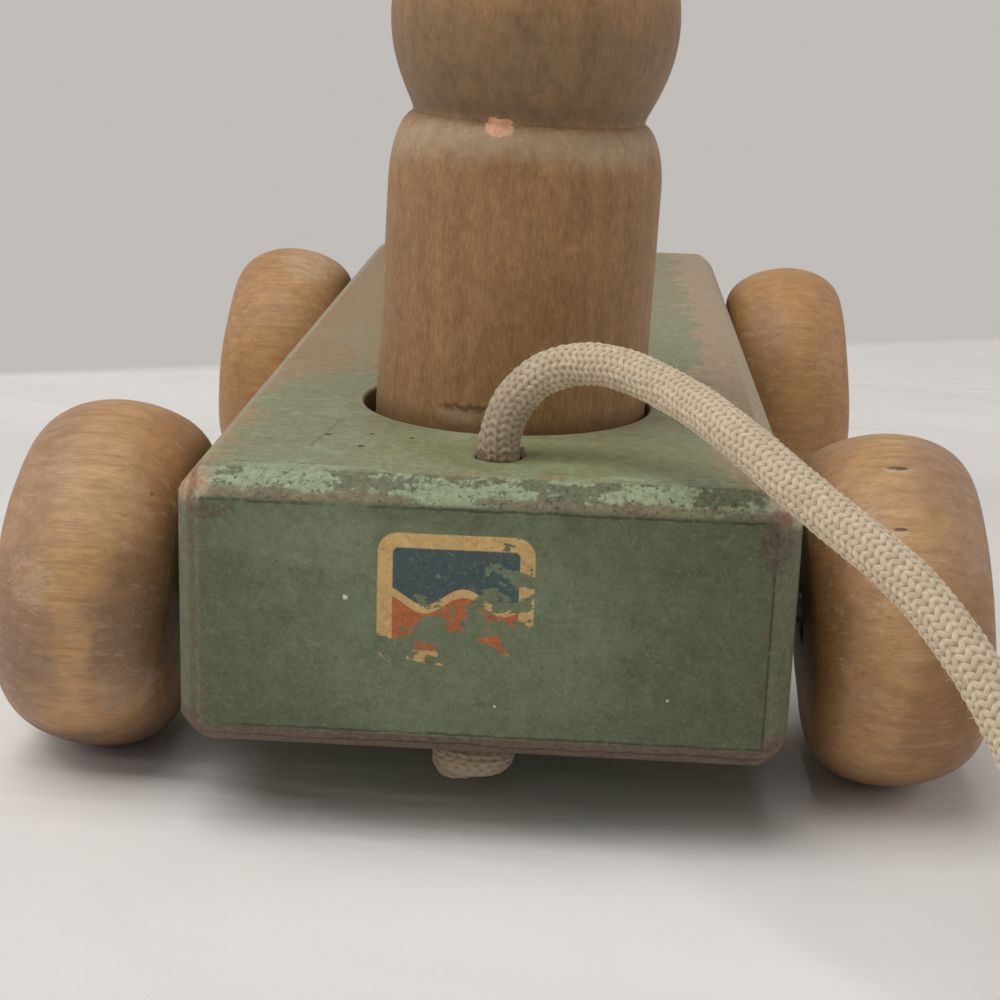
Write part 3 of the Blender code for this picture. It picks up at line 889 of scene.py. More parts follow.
# %% Block
BLOCK = (90.0, 242.0, 42.6)
BLOCK_MIDDLE = UNDERSIDE + BLOCK[2] / 2
EDGE_BREAK = 4.2
EDGE_PROFILE = 0.35
SOCKET_RADIUS = 23.9
SOCKET_DEPTH = 19.0
SOCKET_RIM = 0.7
CORD_HOLE_RADIUS = 3.55
CORD_HOLE_RIM = 0.2
SCREW_HOLE_RADIUS = 3.3
SCREW_HOLE_DEPTH = 30.3


def drill(piece, radius, depth, place, sides, turn=(0, 0, 0)):
    bpy.ops.object.select_all(action="DESELECT")
    bpy.ops.mesh.primitive_cylinder_add(
        vertices=sides,
        radius=radius * MM,
        depth=2 * depth * MM,
        location=tuple(value * MM for value in place),
        rotation=turn,
    )
    drill_bit = bpy.context.object
    hole = piece.modifiers.new("hole", "BOOLEAN")
    hole.operation = "DIFFERENCE"
    hole.solver = "EXACT"
    hole.object = drill_bit
    apply_modifiers(piece)
    bpy.data.objects.remove(drill_bit)


def soften_rim(piece, place, radius, width):
    """Bevels the rim of a round hole in the deck."""

    def on_rim(co):
        out = math.hypot(co.x - place[0] * MM, co.y - place[1] * MM)
        return abs(co.z - DECK * MM) < 1e-6 and abs(out - radius * MM) < 0.02 * MM

    only(piece)
    bpy.ops.object.mode_set(mode="EDIT")
    bpy.ops.mesh.select_mode(type="VERT")
    pick(piece, on_rim)
    bpy.ops.mesh.select_mode(type="EDGE")
    bpy.ops.mesh.bevel(offset=width * MM, segments=3, affect="EDGES")
    bpy.ops.object.mode_set(mode="OBJECT")


def make_block():
    bpy.ops.object.select_all(action="DESELECT")
    bpy.ops.mesh.primitive_cube_add(size=1.0, location=(0, 0, BLOCK_MIDDLE * MM))
    block = bpy.context.object
    block.name = "painted_block"
    block.scale = tuple(side * MM for side in BLOCK)
    settle(block)
    bpy.ops.object.mode_set(mode="EDIT")
    bpy.ops.mesh.select_all(action="SELECT")
    bpy.ops.mesh.bevel(offset=EDGE_BREAK * MM, segments=5, profile=EDGE_PROFILE, affect="EDGES")
    bpy.ops.object.mode_set(mode="OBJECT")
    drill(block, SOCKET_RADIUS, SOCKET_DEPTH, (0, SOCKET_Y, DECK), sides=160)
    drill(block, CORD_HOLE_RADIUS, BLOCK[2], (*HOLE, BLOCK_MIDDLE), sides=48)
    for side, axle_y in WHEEL_PLACES.values():
        at = (side * BLOCK[0] / 2, axle_y, AXLE_Z)
        drill(block, SCREW_HOLE_RADIUS, SCREW_HOLE_DEPTH, at, sides=32, turn=(0, math.pi / 2, 0))
    soften_rim(block, (0, SOCKET_Y), SOCKET_RADIUS, SOCKET_RIM)
    soften_rim(block, HOLE, CORD_HOLE_RADIUS, CORD_HOLE_RIM)
    smooth(block, degrees=30)
    return block


block = make_block()
print("block:", len(block.data.polygons), "faces")

# %% [markdown]
# Old paint is a record of use, so it is laid face by face. Distances from the block's six faces are the
# simplest masks: a point that lies more than a few tenths of a millimetre inside every face is on a
# broken edge. The ground coat is a thin green over the grain.


# %% Green paint, ground coat
class Paint(Finish):
    """The block's finish, with its distances from the block's faces and its noises ready to hand."""

    def __init__(self, name):
        super().__init__(name)
        self.x, self.y, self.z = self.millimetres()
        self.front = self.y + BLOCK[1] / 2
        self.rear = BLOCK[1] / 2 - self.y
        self.deck = DECK - self.z
        self.under = self.z - UNDERSIDE
        self.side = BLOCK[0] / 2 - abs(self.x)
        self.cloud = self.noise(24.0, detail=4.0)
        self.patch = self.noise((9.0, 7.0, 5.0), detail=5.0, roughness=0.62, shift=(3, 1, 7))
        self.chips = self.noise(3.2, detail=6.0, roughness=0.68, shift=(5, 9, 2))
        self.fine = self.noise(1.0, detail=4.0, roughness=0.65)
        self.dust = self.noise(0.42, detail=2.0, shift=(9, 2, 4))
        self.on_front = self.step(self.front, 0.45, 0.05)
        self.on_deck = self.step(self.deck, 0.45, 0.05)
        nearest = self.front.least(self.rear).least(self.deck.least(self.under)).least(self.side)
        self.edge = self.step(nearest, 0.05, 0.4)

    def speckled(self, dark, light):
        return self.tinted(self.fine, dark, light)


paint = Paint("worn_green_paint")
long_grain = paint.noise((1.2, 40.0, 1.2), detail=4.0, roughness=0.6)
paint.colour = paint.tinted(paint.cloud, (93, 101, 74), (104, 113, 83))
paint.coat(paint.step(paint.dust, 0.35, 0.65) * 0.35, (85, 92, 66))
paint.coat(paint.step(long_grain, 0.5, 0.7) * 0.3 * (1 - paint.on_front), (84, 86, 62))
print("ground coat:", len(paint.tree.nodes), "nodes")

# %% [markdown]
# The front has fine lying grain, grey scuffs, dark stains, a cleaner patch round the label and a few
# white specks. Each is a noise cut off at a threshold, or a spot with a torn rim.

# %% Worn front
FRONT_Y = -BLOCK[1] / 2
WHITE_SPECKS = ((-20.0, 38.3, 0.36), (2.0, 22.6, 0.2), (27.0, 24.8, 0.24))


def wear_front(paint):
    step, spot, coat = paint.step, paint.spot, paint.coat
    cloud, patch, on_front = paint.cloud, paint.patch, paint.on_front
    lying = paint.noise((20.0, 20.0, 0.42), detail=4.0, roughness=0.7, shift=(1, 5, 2))
    coat(step(lying, 0.52, 0.72) * 0.4 * on_front, (71, 74, 52))
    clean = spot((-3, FRONT_Y, 32), (24, 9, 17), patch.swing(1.2), 0.5)
    coat(clean * 0.65 * on_front, (124, 137, 107))
    scuffs = step(paint.chips + cloud.swing(0.5), 0.56, 0.72) * (1 - paint.on_deck)
    coat(scuffs * 0.35, (132, 140, 113))
    stains = step(patch - cloud.swing(0.4), 0.55, 0.75)
    coat(stains * on_front * 0.4, (76, 73, 53))
    smudge = spot((-25.0, FRONT_Y, 46.0), (11.0, 3, 4.5), patch.swing(2.4), 0.6)
    coat(smudge * on_front * 0.4, (142, 150, 124))
    coat(step(paint.dust, 0.73, 0.77) * on_front * 0.5, (176, 178, 152))
    for x, z, radius in WHITE_SPECKS:
        coat(spot((x, FRONT_Y, z), (radius, 1, radius), paint.dust.swing(1.6)), (222, 220, 204))


wear_front(paint)
print("front worn:", len(paint.tree.nodes), "nodes")

# %% [markdown]
# The deck is dusty green in front of the socket, with faded and darker patches, and rubbed to taupe along
# its borders, beside the socket and behind it, where little paint is left. Small pits, a crack, a long
# scratch and the worn rim of the socket are drawn on it one by one.

# %% Worn deck
PITS = ((-26.1, -96.5, 0.7), (-20.2, -103.1, 0.65), (-13.1, -96.7, 0.5), (-19.5, -95.2, 0.5))


def rub_deck(paint):
    """Fades the green in front, and rubs it to taupe at the borders, on the left and far behind."""
    step, spot, coat = paint.step, paint.spot, paint.coat
    x, y, side, patch, on_deck = paint.x, paint.y, paint.side, paint.patch, paint.on_deck
    coat(on_deck * 0.85, paint.speckled((134, 137, 106), (154, 156, 126)))
    fresh = spot((8, -103, 56), (26, 12, 9), patch.swing(1.6), 0.5)
    coat(fresh * on_deck * 0.75, (138, 144, 103))
    faded = patch + paint.fine.swing(0.25)
    near = step(y, -52.0, -72.0) * on_deck
    coat(step(faded, 0.52, 0.64) * near * 0.5, (156, 166, 134))
    coat(step(faded, 0.46, 0.34) * near * 0.4, (116, 116, 84))

    left = step(x, 6.0, -6.0)
    near_left = left * step(y, -50.0, -66.0)
    border = side + near_left * 3.0 - (1 - left) * 2.0
    border = border.least(paint.front * 1.5 + 3.0).least(paint.rear)
    rub = step(border + patch.swing(26.0), 10.0, 6.0)
    rub = rub.most(step(border + paint.chips.swing(12.0), 7.4, 6.4))
    bald = left * step(y + patch.swing(60.0), -62.0, -38.0)
    far = (bald * 0.85).most(step(y + patch.swing(90.0), 10.0, 70.0) * 0.45)
    kept = paint.noise((9.0, 26.0, 9.0), detail=6.0, roughness=0.62, shift=(6, 2, 3))
    island = spot((-31.0, -14.0, 56.0), (9.0, 10.0, 9.0), patch.swing(2.4), 0.3)
    green_left = (step(kept, 0.5, 0.56) * step(side, 8.0, 18.0) * 0.75).most(island * 0.6)
    right = step(x, 12.0, 34.0) * step(y, -90.0, -40.0)
    coat(right * on_deck * 0.4, paint.speckled((150, 150, 116), (166, 166, 132)))
    taupe = paint.speckled((150, 126, 96), (180, 154, 122))
    coat((rub * 0.8).most(far * (1 - green_left)) * on_deck, taupe)
    coat(bald * (1 - green_left * 0.6) * on_deck * 0.5, (146, 114, 80))
    coat(rub * right * on_deck * 0.6, (190, 166, 142))


def mark_deck(paint):
    """Draws the crack, the pits, the scratch and the socket's rim and bare wall."""
    step, coat, deck, fine = paint.step, paint.coat, paint.deck, paint.fine
    crack = step(abs(paint.front - 6.6 + paint.chips.swing(3.0)), 0.22, 0.06)
    coat(crack * step(paint.cloud, 0.42, 0.5) * paint.on_deck * 0.7, (92, 74, 52))
    for x, y, radius in PITS:
        coat(paint.spot((x, y, DECK), (radius * 0.75, radius, 2), fine.swing(1.2)), (58, 50, 34))
    along = paint.y + 96.0
    scratch = step(abs(paint.x + 26.6 - along * 0.13 + fine.swing(0.8)), 0.4, 0.1)
    coat(scratch * step(abs(along), 8.8, 7.6) * paint.on_deck * 0.55, (100, 96, 66))
    from_socket = paint.y - SOCKET_Y
    out = (paint.x * paint.x + from_socket * from_socket).root()
    rim = step(abs(out - SOCKET_RADIUS - 0.5), 0.7, 0.2) * step(deck, 1.2, 0.8)
    coat(rim * 0.55, (168, 152, 118))
    sunk = step(deck, 0.8, 1.6) * step(deck, SOCKET_DEPTH + 0.6, SOCKET_DEPTH + 0.2)
    inside = step(out, SOCKET_RADIUS + 0.1, SOCKET_RADIUS - 0.1) * sunk
    coat(inside, paint.speckled((92, 68, 44), (126, 96, 66)))


rub_deck(paint)
mark_deck(paint)
print("deck worn:", len(paint.tree.nodes), "nodes")

# %% [markdown]
# Broken edges lose their paint first. The one between deck and front is pale and speckled where hands rub
# it, with bare patches below; the foot is brown, the deck's long edges are dusty, the right one painted
# lighter as light on that side, and dark lines run where the edges begin. The two upper corners are the
# most knocked about, so they get torn spots of their own.

# %% Broken edges
CORNER_SPOTS = {
    "bare": ((-43.6, -118.0, 54.2), (2.8, 5.0, 2.4)),
    "dark": ((-40.6, FRONT_Y, 50.6), (4.0, 2.5, 1.3)),
    "smear": ((41.8, FRONT_Y, 49.5), (3.4, 3.0, 4.6)),
    "red": ((42.4, -120.1, 52.6), (1.1, 1.2, 0.7)),
}


def wear_front_edges(paint):
    """The upright edges at the front, and the edge between front and deck."""
    step, coat, speckled = paint.step, paint.coat, paint.speckled
    front, deck, side, edge = paint.front, paint.deck, paint.side, paint.edge
    patch, chips, fine = paint.patch, paint.chips, paint.fine
    near_front = step(front, 1.4, 0.6)
    lying_line = abs(deck.least(paint.under) - 4.2 + chips.swing(1.1) + fine.swing(0.4))
    ridge = step(lying_line, 0.32, 0.06) * step(patch, 0.3, 0.5)
    upright_line = abs(side - 4.6 + chips.swing(1.6))
    worn_line = step(upright_line, 1.1, 0.2) * step(chips, 0.36, 0.6) * 0.8
    groove = step(abs(side - 3.9 + fine.swing(0.3)), 0.3, 0.1) * step(paint.x, 0.0, 1.0)
    upright = edge * step(side, 7.0, 5.0) * step(front, 9.0, 6.0)
    coat(upright * 0.8, speckled((92, 96, 73), (126, 129, 104)))
    coat(worn_line * near_front * 0.7, (104, 88, 68))
    coat(groove.most(ridge) * near_front * 0.75, (58, 48, 34))

    mint = speckled((138, 152, 117), (174, 188, 154))
    strip = paint.noise((14.0, 5.0, 5.0), detail=6.0, roughness=0.6, shift=(2, 7, 1))
    flaked = strip + chips.swing(0.3) + fine.swing(0.25)
    top_edge = paint.mix(step(flaked, 0.46, 0.51), speckled((92, 95, 68), (128, 132, 101)), mint)
    low_share = step(front - deck + chips.swing(5.0), -1.0, -2.2) * step(strip, 0.62, 0.56)
    top_edge = paint.mix(low_share * 0.9, top_edge, speckled((114, 101, 77), (142, 129, 103)))
    pits = step(paint.noise(0.62, detail=3.0, shift=(2, 2, 8)) + patch.swing(0.3), 0.59, 0.64)
    top_edge = paint.mix(pits * 0.75, top_edge, linear(70, 68, 48))
    coat(edge * step(front, 6.0, 4.6) * step(deck, 6.0, 4.6) * 0.96, top_edge)
    spread = step(front + chips.swing(8.0), 8.6, 5.0) * step(flaked, 0.47, 0.55)
    coat(spread * paint.on_deck * 0.7, mint)
    return near_front.most(upright)


def wear_other_edges(paint, beside_front):
    """The foot, the long edges of the deck and the knocked corners."""
    step, coat, speckled = paint.step, paint.coat, paint.speckled
    side, under, chips, fine = paint.side, paint.under, paint.chips, paint.fine
    foot = paint.edge * step(under, 6.6, 4.8)
    coat(foot * 0.95, speckled((84, 66, 53), (122, 100, 84)))
    split = step(abs(under - 2.2 - paint.patch.swing(3.0)), 0.3, 0.1) * foot
    coat(split * 0.8, (52, 40, 32))
    long_edge = paint.edge * step(side, 6.0, 4.6) * step(paint.deck, 6.0, 4.6)
    dust_and_light_edge = speckled((150, 136, 112), (186, 170, 144))
    # The right long edge is painted lighter, as light on that side, over the dust.
    dust_and_light_edge = paint.mix(step(paint.x, 0.0, 1.0) * 0.6, dust_and_light_edge, linear(204, 182, 158))
    coat(long_edge * 0.9, dust_and_light_edge)

    torn = chips.swing(2.6) + fine.swing(1.6)
    coat(paint.spot(*CORNER_SPOTS["bare"], torn, 0.2) * 0.85, speckled((158, 118, 86), (200, 158, 124)))
    coat(paint.spot(*CORNER_SPOTS["dark"], torn, 0.2) * 0.6, speckled((66, 54, 38), (112, 96, 74)))
    left_line = step(abs(side - 2.6 + chips.swing(1.8)), 1.0, 0.2)
    left_worn = left_line * beside_front * step(paint.x, 0.0, -1.0)
    coat(left_worn * step(fine, 0.3, 0.55) * 0.75, (96, 74, 54))
    smear = paint.spot(*CORNER_SPOTS["smear"], chips.swing(2.2), 0.3)
    coat(smear * 0.75, speckled((72, 58, 46), (122, 104, 88)))
    coat(paint.spot(*CORNER_SPOTS["red"], fine.swing(2.6), 0.3) * 0.7, (156, 96, 84))


wear_other_edges(paint, wear_front_edges(paint))
print("edges worn:", len(paint.tree.nodes), "nodes")

# %% [markdown]
# A faded paper label is stuck on the front, in general colours: a pale frame round a dark sky and warm
# hills, with its lower half mostly rubbed off. It lies on the paint as one coat, and a noise decides
# where paper is left. Last, a mottle and a fine grit go over everything, and the same noises raise the
# surface.

# %% Label and last coat
LABEL_MIDDLE = (-4.1, 38.4)
LABEL_HALF = (11.3, 9.9)
LABEL_ROUND = 3.0


def lay_label(paint):
    step, speckled = paint.step, paint.speckled
    across = paint.x - LABEL_MIDDLE[0]
    up = paint.z - LABEL_MIDDLE[1]
    out_x = (abs(across) - (LABEL_HALF[0] - LABEL_ROUND)).most(0.0)
    out_z = (abs(up) - (LABEL_HALF[1] - LABEL_ROUND)).most(0.0)
    rim = (out_x * out_x + out_z * out_z).root() - LABEL_ROUND
    hills = (across * 0.55 + 0.9).sine() * 1.3 - 0.6
    warm = speckled((176, 92, 48), (196, 112, 62))
    night = speckled((58, 76, 80), (72, 92, 94))
    art = paint.mix(step(up - hills, -0.15, 0.15), warm, night)
    art = paint.mix(step(abs(up - hills - 0.5), 0.75, 0.55), art, linear(214, 178, 118))
    art = paint.mix(step(rim, -2.3, -2.1), art, speckled((204, 164, 102), (224, 188, 126)))
    rubbed = paint.noise((5.5, 5.5, 3.4), detail=6.0, roughness=0.6, shift=(4, 4, 9))
    held = rubbed + up * 0.016 - across * 0.006 - step(paint.chips, 0.6, 0.66) * 0.12
    paint.coat(step(rim, 0.1, -0.1) * step(held, 0.455, 0.47) * paint.on_front, art)


lay_label(paint)
mottle = paint.noise(2.0, detail=5.0, roughness=0.7, shift=(8, 2, 6))
paint.shade(mottle, (0.79, 0.79, 0.76), (1.13, 1.13, 1.08))
grit = paint.noise(0.6, detail=4.0, roughness=0.75, shift=(4, 1, 1))
paint.coat(paint.step(grit, 0.53, 0.68) * 0.34, (54, 52, 38))
paint.coat(paint.step(grit, 0.45, 0.33) * 0.22, (164, 166, 138))
relief = paint.bump(long_grain * 0.3 + paint.fine * 0.4 + paint.chips * 0.9, 0.3, 0.7)
dress(block, paint.close(Roughness=0.48 + 0.3 * paint.fine, Normal=relief))
print("paint on the block:", len(paint.tree.nodes), "nodes")

# %% [markdown]
# No two wheels are worn alike. Stains, rubbed patches and chips, with a few patches of painted light and
# shade, are listed for each of them by place, size, colour and strength, so that one finish can serve all
# four.

# %% Wear and painted light of each wheel
TAN = (202, 161, 120)
GOLD = (196, 150, 98)
BROWN = (158, 114, 74)
MAUVE = (146, 116, 98)
PALE = (214, 186, 154)
DARK = (70, 46, 28)
AMBER = (186, 134, 74)
WHEEL_WEAR_AND_LIGHT = {
    "front_left": [
        ((-72.0, -111.0, 26.0), (6.5, 14.0, 12.0), MAUVE, 0.7),
        ((-53.5, -111.0, 27.0), (5.4, 12.0, 12.0), (132, 100, 78), 0.75),
        # Dark at the bottom of the front left wheel: a painted contact shadow.
        ((-62.0, -96.0, 2.0), (18.0, 16.0, 6.0), (72, 54, 42), 0.65),
        ((-54.5, -109.0, 17.0), (5.0, 8.0, 4.0), (178, 148, 122), 0.5),
        ((-69.0, -112.0, 35.0), (3.4, 6.0, 3.2), PALE, 0.4),
        ((-50.0, -90.0, 52.0), (6.0, 16.0, 9.0), (184, 128, 74), 0.6),
        ((-52.2, -102.5, 47.0), (0.35, 0.6, 0.3), DARK, 0.7),
    ],
    "front_right": [
        ((69.5, -111.0, 22.0), (6.0, 14.0, 15.0), (150, 108, 70), 0.7),
        # Dark brown at the inner edge of the front right wheel: a brown stain, and painted shade beside
        # the block.
        ((49.0, -104.0, 28.0), (5.0, 14.0, 24.0), (134, 92, 52), 0.7),
        ((67.0, -97.0, 53.5), (5.0, 10.0, 6.0), MAUVE, 0.4),
        # Two small splits, each a painted highlight on its lower lip beside painted shade in the crack.
        ((61.2, -95.9, 54.2), (2.0, 0.9, 0.5), PALE, 0.6),
        ((61.2, -95.7, 54.6), (1.5, 0.6, 0.26), DARK, 0.9),
        ((60.7, -105.8, 47.2), (1.6, 0.9, 0.5), PALE, 0.6),
        ((60.7, -105.6, 47.7), (1.2, 0.6, 0.24), DARK, 0.9),
    ],
    "rear_left": [
        ((-58.0, 80.0, 28.0), (40.0, 40.0, 40.0), AMBER, 0.65),
        # A pale patch on top of the rear left wheel: a painted highlight.
        ((-56.5, 84.0, 55.0), (6.0, 10.0, 5.0), PALE, 0.5),
    ],
    "rear_right": [
        ((58.0, 80.0, 28.0), (40.0, 40.0, 40.0), AMBER, 0.65),
        ((56.0, 70.0, 38.0), (5.0, 12.0, 12.0), BROWN, 0.5),
    ],
}
print("marks:", {place: len(marks) for place, marks in WHEEL_WEAR_AND_LIGHT.items()})

# %% [markdown]
# The wheels are bare hardwood under old varnish. Their grain runs along the axle, so a noise drawn out
# along X gives the dashes, bands and pores. The crown is rubbed golden, the outer side is greyer, the
# inner side browner, and the flat faces show the rings. The inner edge is darker still, with grime and
# painted shade beside the block, and the lowest part of each wheel is painted darker as shade where it
# meets the floor.

# %% Varnished wheels
SMALL_MARK = 3.0


def streaks(wood, along, width, length, shift=(0, 0, 0)):
    """Noise drawn out along one axis of the wood."""
    sizes = [width, width, width]
    sizes[along] = length
    return wood.noise(tuple(sizes), detail=3.0, roughness=0.6, shift=shift)


def wheel_finish(name, side, axle_y, marks):
    wood = Finish(name)
    step, coat = wood.step, wood.coat
    x, y, z = wood.millimetres()
    cloud = wood.noise(13.0, detail=5.0, roughness=0.6, shift=(6, 3, 2))
    blotch = wood.noise(6.0, detail=4.0, roughness=0.6, shift=(2, 8, 5))
    dashes = streaks(wood, 0, 0.3, 6.0)
    bands = streaks(wood, 0, 1.3, 22.0, shift=(7, 4, 1))
    pores = streaks(wood, 0, 0.2, 1.6, shift=(1, 8, 3))
    outward = (x * side - WHEEL_X) * math.cos(WHEEL_LEAN) + (z - AXLE_Z) * math.sin(WHEEL_LEAN)
    across, up = y - axle_y - 34.0 * side, z - AXLE_Z + 26.0
    from_pith = (across * across + up * up).root() + cloud.swing(4.0)
    rings = (from_pith * 2.7).sine() * 0.5 + 0.5
    on_face = step(outward, 13.0, 13.4).most(step(outward, -13.0, -13.4))

    wood.colour = wood.mix(step(blotch, 0.3, 0.7), linear(*TAN), linear(*GOLD))
    worn = outward + cloud.swing(16.0)
    coat(step(worn, 0.0, 10.0) * 0.5, MAUVE)
    coat(step(worn, -2.0, -12.0) * 0.7, BROWN)
    coat(step(abs(outward + cloud.swing(10.0)), 8.0, 2.0) * 0.4, (210, 164, 106))
    # Darker inner edge and face: grime, and painted shade beside the block.
    coat(step(outward + cloud.swing(6.0), -8.0, -13.0) * 0.6, (104, 70, 42))
    coat(on_face * step(blotch, 0.35, 0.65) * 0.5, GOLD)
    coat(rings * (0.1 + on_face * 0.35), BROWN)
    torn = blotch.swing(1.6) + (cloud - 0.5) + dashes.swing(1.8)
    for centre, radii, tone, strength in marks:
        if max(radii) < SMALL_MARK:
            mark = wood.spot(centre, radii, dashes.swing(2.4), 0.15)
        else:
            mark = wood.spot(centre, radii, torn, 0.34)
        coat(mark * strength, tone)
    coat(step(bands, 0.5, 0.68) * 0.4, BROWN)
    coat(step(bands, 0.45, 0.3) * 0.25, PALE)
    coat(step(dashes, 0.5, 0.7) * 0.4, BROWN)
    coat(step(dashes, 0.47, 0.32) * 0.2, PALE)
    coat(step(pores, 0.6, 0.74) * (0.3 + on_face * 0.3), (118, 80, 50))
    mottle = wood.noise((3.6, 2.2, 2.2), detail=5.0, roughness=0.7, shift=(8, 2, 6))
    wood.shade(mottle, (0.8, 0.79, 0.78), (1.12, 1.12, 1.12))
    # Darker towards the bottom: painted shade where the wheel meets the floor.
    coat(step(z + cloud.swing(14.0), 15.0, 2.0) * 0.5, (104, 80, 60))
    height = dashes * 0.4 + pores * 0.2 + blotch * 0.8 + rings * on_face * 0.4
    return wood.close(Roughness=0.42 + 0.2 * cloud, Normal=wood.bump(height, 0.22, 0.5))


for place, wheel in wheels.items():
    dress(wheel, wheel_finish("wheel_wood_" + place, *WHEEL_PLACES[place], WHEEL_WEAR_AND_LIGHT[place]))
print("wood on", len(wheels), "wheels")

# %% [markdown]
# The peg's grain stands upright, so its noises are drawn out along Z: close pale and dark flecks over
# slow bands. A pale grey band on the shoulder below the neck is a painted sheen, the groove under the
# head and the lower part of the head are painted darker as shade, and the shoulder has lost a chip. The
# foot is darker where it meets the deck, with scuffs and painted shade. The ball of the head shows rings
# towards its top, where the lathe cut across the grain.

# %% Varnished peg
NECK_Z = DECK + PEG_NECK


def peg_finish():
    wood = Finish("varnished_peg_wood")
    step, spot, coat = wood.step, wood.spot, wood.coat
    x, y, z = wood.millimetres()
    flecks = streaks(wood, 2, 0.4, 1.5)
    pores = streaks(wood, 2, 0.22, 1.0, shift=(1, 8, 3))
    bands = streaks(wood, 2, 2.6, 60.0, shift=(4, 2, 9))
    cloud = wood.noise(15.0, detail=5.0, roughness=0.6, shift=(6, 3, 2))
    fine = wood.noise(0.9, detail=3.0)
    wood.colour = wood.tinted(cloud, (150, 110, 72), (166, 126, 86))
    coat(step(bands, 0.42, 0.7) * 0.4, (178, 138, 92))
    coat(step(bands, 0.5, 0.28) * 0.35, (134, 94, 58))
    coat(step(flecks, 0.48, 0.66) * 0.36, (186, 148, 108))
    coat(step(flecks, 0.48, 0.32) * 0.28, (118, 82, 52))
    coat(step(pores, 0.6, 0.74) * 0.4, (100, 68, 42))
    # A pale grey band on the shoulder below the neck: a painted sheen.
    shoulder_sheen = step(abs(z - NECK_Z + 3.0 + cloud.swing(9.0) + fine.swing(3.0)), 5.2, 0.2)
    coat(shoulder_sheen * 0.55, (178, 158, 132))
    # A darker band in the groove under the head: painted shade.
    neck_shade = step(abs(z - NECK_Z - 1.6 + fine.swing(2.4) + cloud.swing(3.0)), 3.0, 0.2)
    coat(neck_shade * 0.45, (96, 78, 60))
    behind = y - SOCKET_Y + 6.0
    rings = ((x * x + behind * behind).root() * 2.4 + cloud.swing(6.0)).sine() * 0.5 + 0.5
    coat(rings * step(z, NECK_Z + 20.0, NECK_Z + 40.0) * 0.45, (132, 94, 60))
    # The lower part of the head, painted darker as shade under the ball.
    head = step(z + cloud.swing(6.0), NECK_Z + 0.5, NECK_Z + 2.0)
    coat(head * step(z + cloud.swing(16.0), NECK_Z + 22.0, NECK_Z + 12.0) * 0.5, (120, 100, 80))
    chip = spot((-1.7, -86.4, 102.7), (2.3, 3.0, 1.4), fine.swing(1.1), 0.06)
    coat(chip, wood.tinted(fine, (216, 160, 122), (232, 184, 148)))
    coat(spot((-5.0, -89.6, 59.4), (5.0, 4.0, 0.7), fine.swing(2.4), 0.4) * 0.7, (70, 50, 34))
    coat(spot((-6.5, -89.6, 58.0), (3.4, 4.0, 1.1), fine.swing(3.4), 0.5) * 0.5, (196, 176, 148))
    # Darker at the foot where it meets the deck: scuffs and painted shade.
    coat(step(z + fine.swing(3.0), DECK + 3.2, DECK + 0.4) * 0.45, (96, 68, 44))
    mottle = wood.noise((2.0, 2.0, 3.2), detail=6.0, roughness=0.75, shift=(8, 2, 6))
    wood.shade(mottle, (0.76, 0.76, 0.71), (1.21, 1.2, 1.13))
    relief = wood.bump(flecks * 0.6 + pores * 0.3, 0.12, 0.5)
    return wood.close(Roughness=0.46 + 0.2 * cloud, Normal=relief)


dress(peg, peg_finish())
print("wood on the peg")

# %% [markdown]
# The cotton's colour follows its stitches: each is pale on its crown and grey-brown in the valleys, with
# dust and painted shade there, and the knot under the block is painted darker as shade. The relief of the
# plait is worked out once more from the UV map, now as shader arithmetic, with the fine yarns that are
# too small for the mesh. The loose fibres and the woven tie are plainer cottons.


# %% Cotton
def plait_height(column, stitch):
    heights = []
    for way in (1.0, -1.0):
        place = column + stitch * way
        strand = place.floor() + 0.5
        over = ((strand + column - stitch * way - 1.0) * (math.pi / 2)).cosine() * way
        rounded = (1 - (place - strand) * (place - strand) * 4.0).most(0.0).root()
        yarns = (place * (6 * math.pi)).cosine() * 0.06
        heights.append(over * 0.5 + rounded * 0.5 + yarns)
    return heights[0].most(heights[1]).most(0.0)


def cotton_finish():
    cotton = Finish("plaited_cotton")
    column, stitch, _ = cotton.parts(cotton.node("ShaderNodeUVMap", {"uv_map": "plait"}))
    height = plait_height(column, stitch)
    soil = cotton.noise(9.0, detail=3.0)
    fibre = cotton.noise(0.3, detail=2.0)
    tuft = cotton.noise(1.5, detail=3.0, roughness=0.6, shift=(3, 5, 1))
    cotton.colour = cotton.mix(soil, linear(224, 203, 173), linear(240, 222, 194))
    # Grey-brown valleys between the stitches: dust and painted shade.
    cotton.coat(cotton.step(height, 0.75, 0.25) * 0.66, (142, 114, 82))
    cotton.coat(fibre * 0.3, (186, 164, 134))
    cotton.shade(tuft, (0.84, 0.83, 0.81), (1.08, 1.08, 1.08))
    at_hole = cotton.spot((*HOLE, DECK), (9.0, 9.0, 15.0), soil.swing(0.8), 0.6)
    cotton.coat(at_hole * 0.55, (136, 120, 100))
    # The stop knot under the block, painted darker as shade.
    below = cotton.spot((-2.0, HOLE[1], 9.0), (14.0, 14.0, 8.0), soft=0.3)
    cotton.coat(below * 0.5, (140, 120, 102))
    relief = cotton.bump(height * 0.75 + fibre * 0.35 + tuft * 0.3, 0.3, 0.8)
    return cotton.close(Roughness=0.92, Normal=relief, Sheen_Weight=0.2, Specular_IOR_Level=0.2)


def fibre_finish():
    fibre = Finish("loose_cotton_fibre")
    soil = fibre.noise(3.0, detail=2.0)
    fibre.colour = fibre.mix(soil, linear(196, 176, 146), linear(226, 208, 180))
    at_hole = fibre.spot((*HOLE, DECK), (8.0, 8.0, 5.0), soft=0.3)
    fibre.coat(at_hole * 0.75, (138, 112, 84))
    return fibre.close(Roughness=0.95)


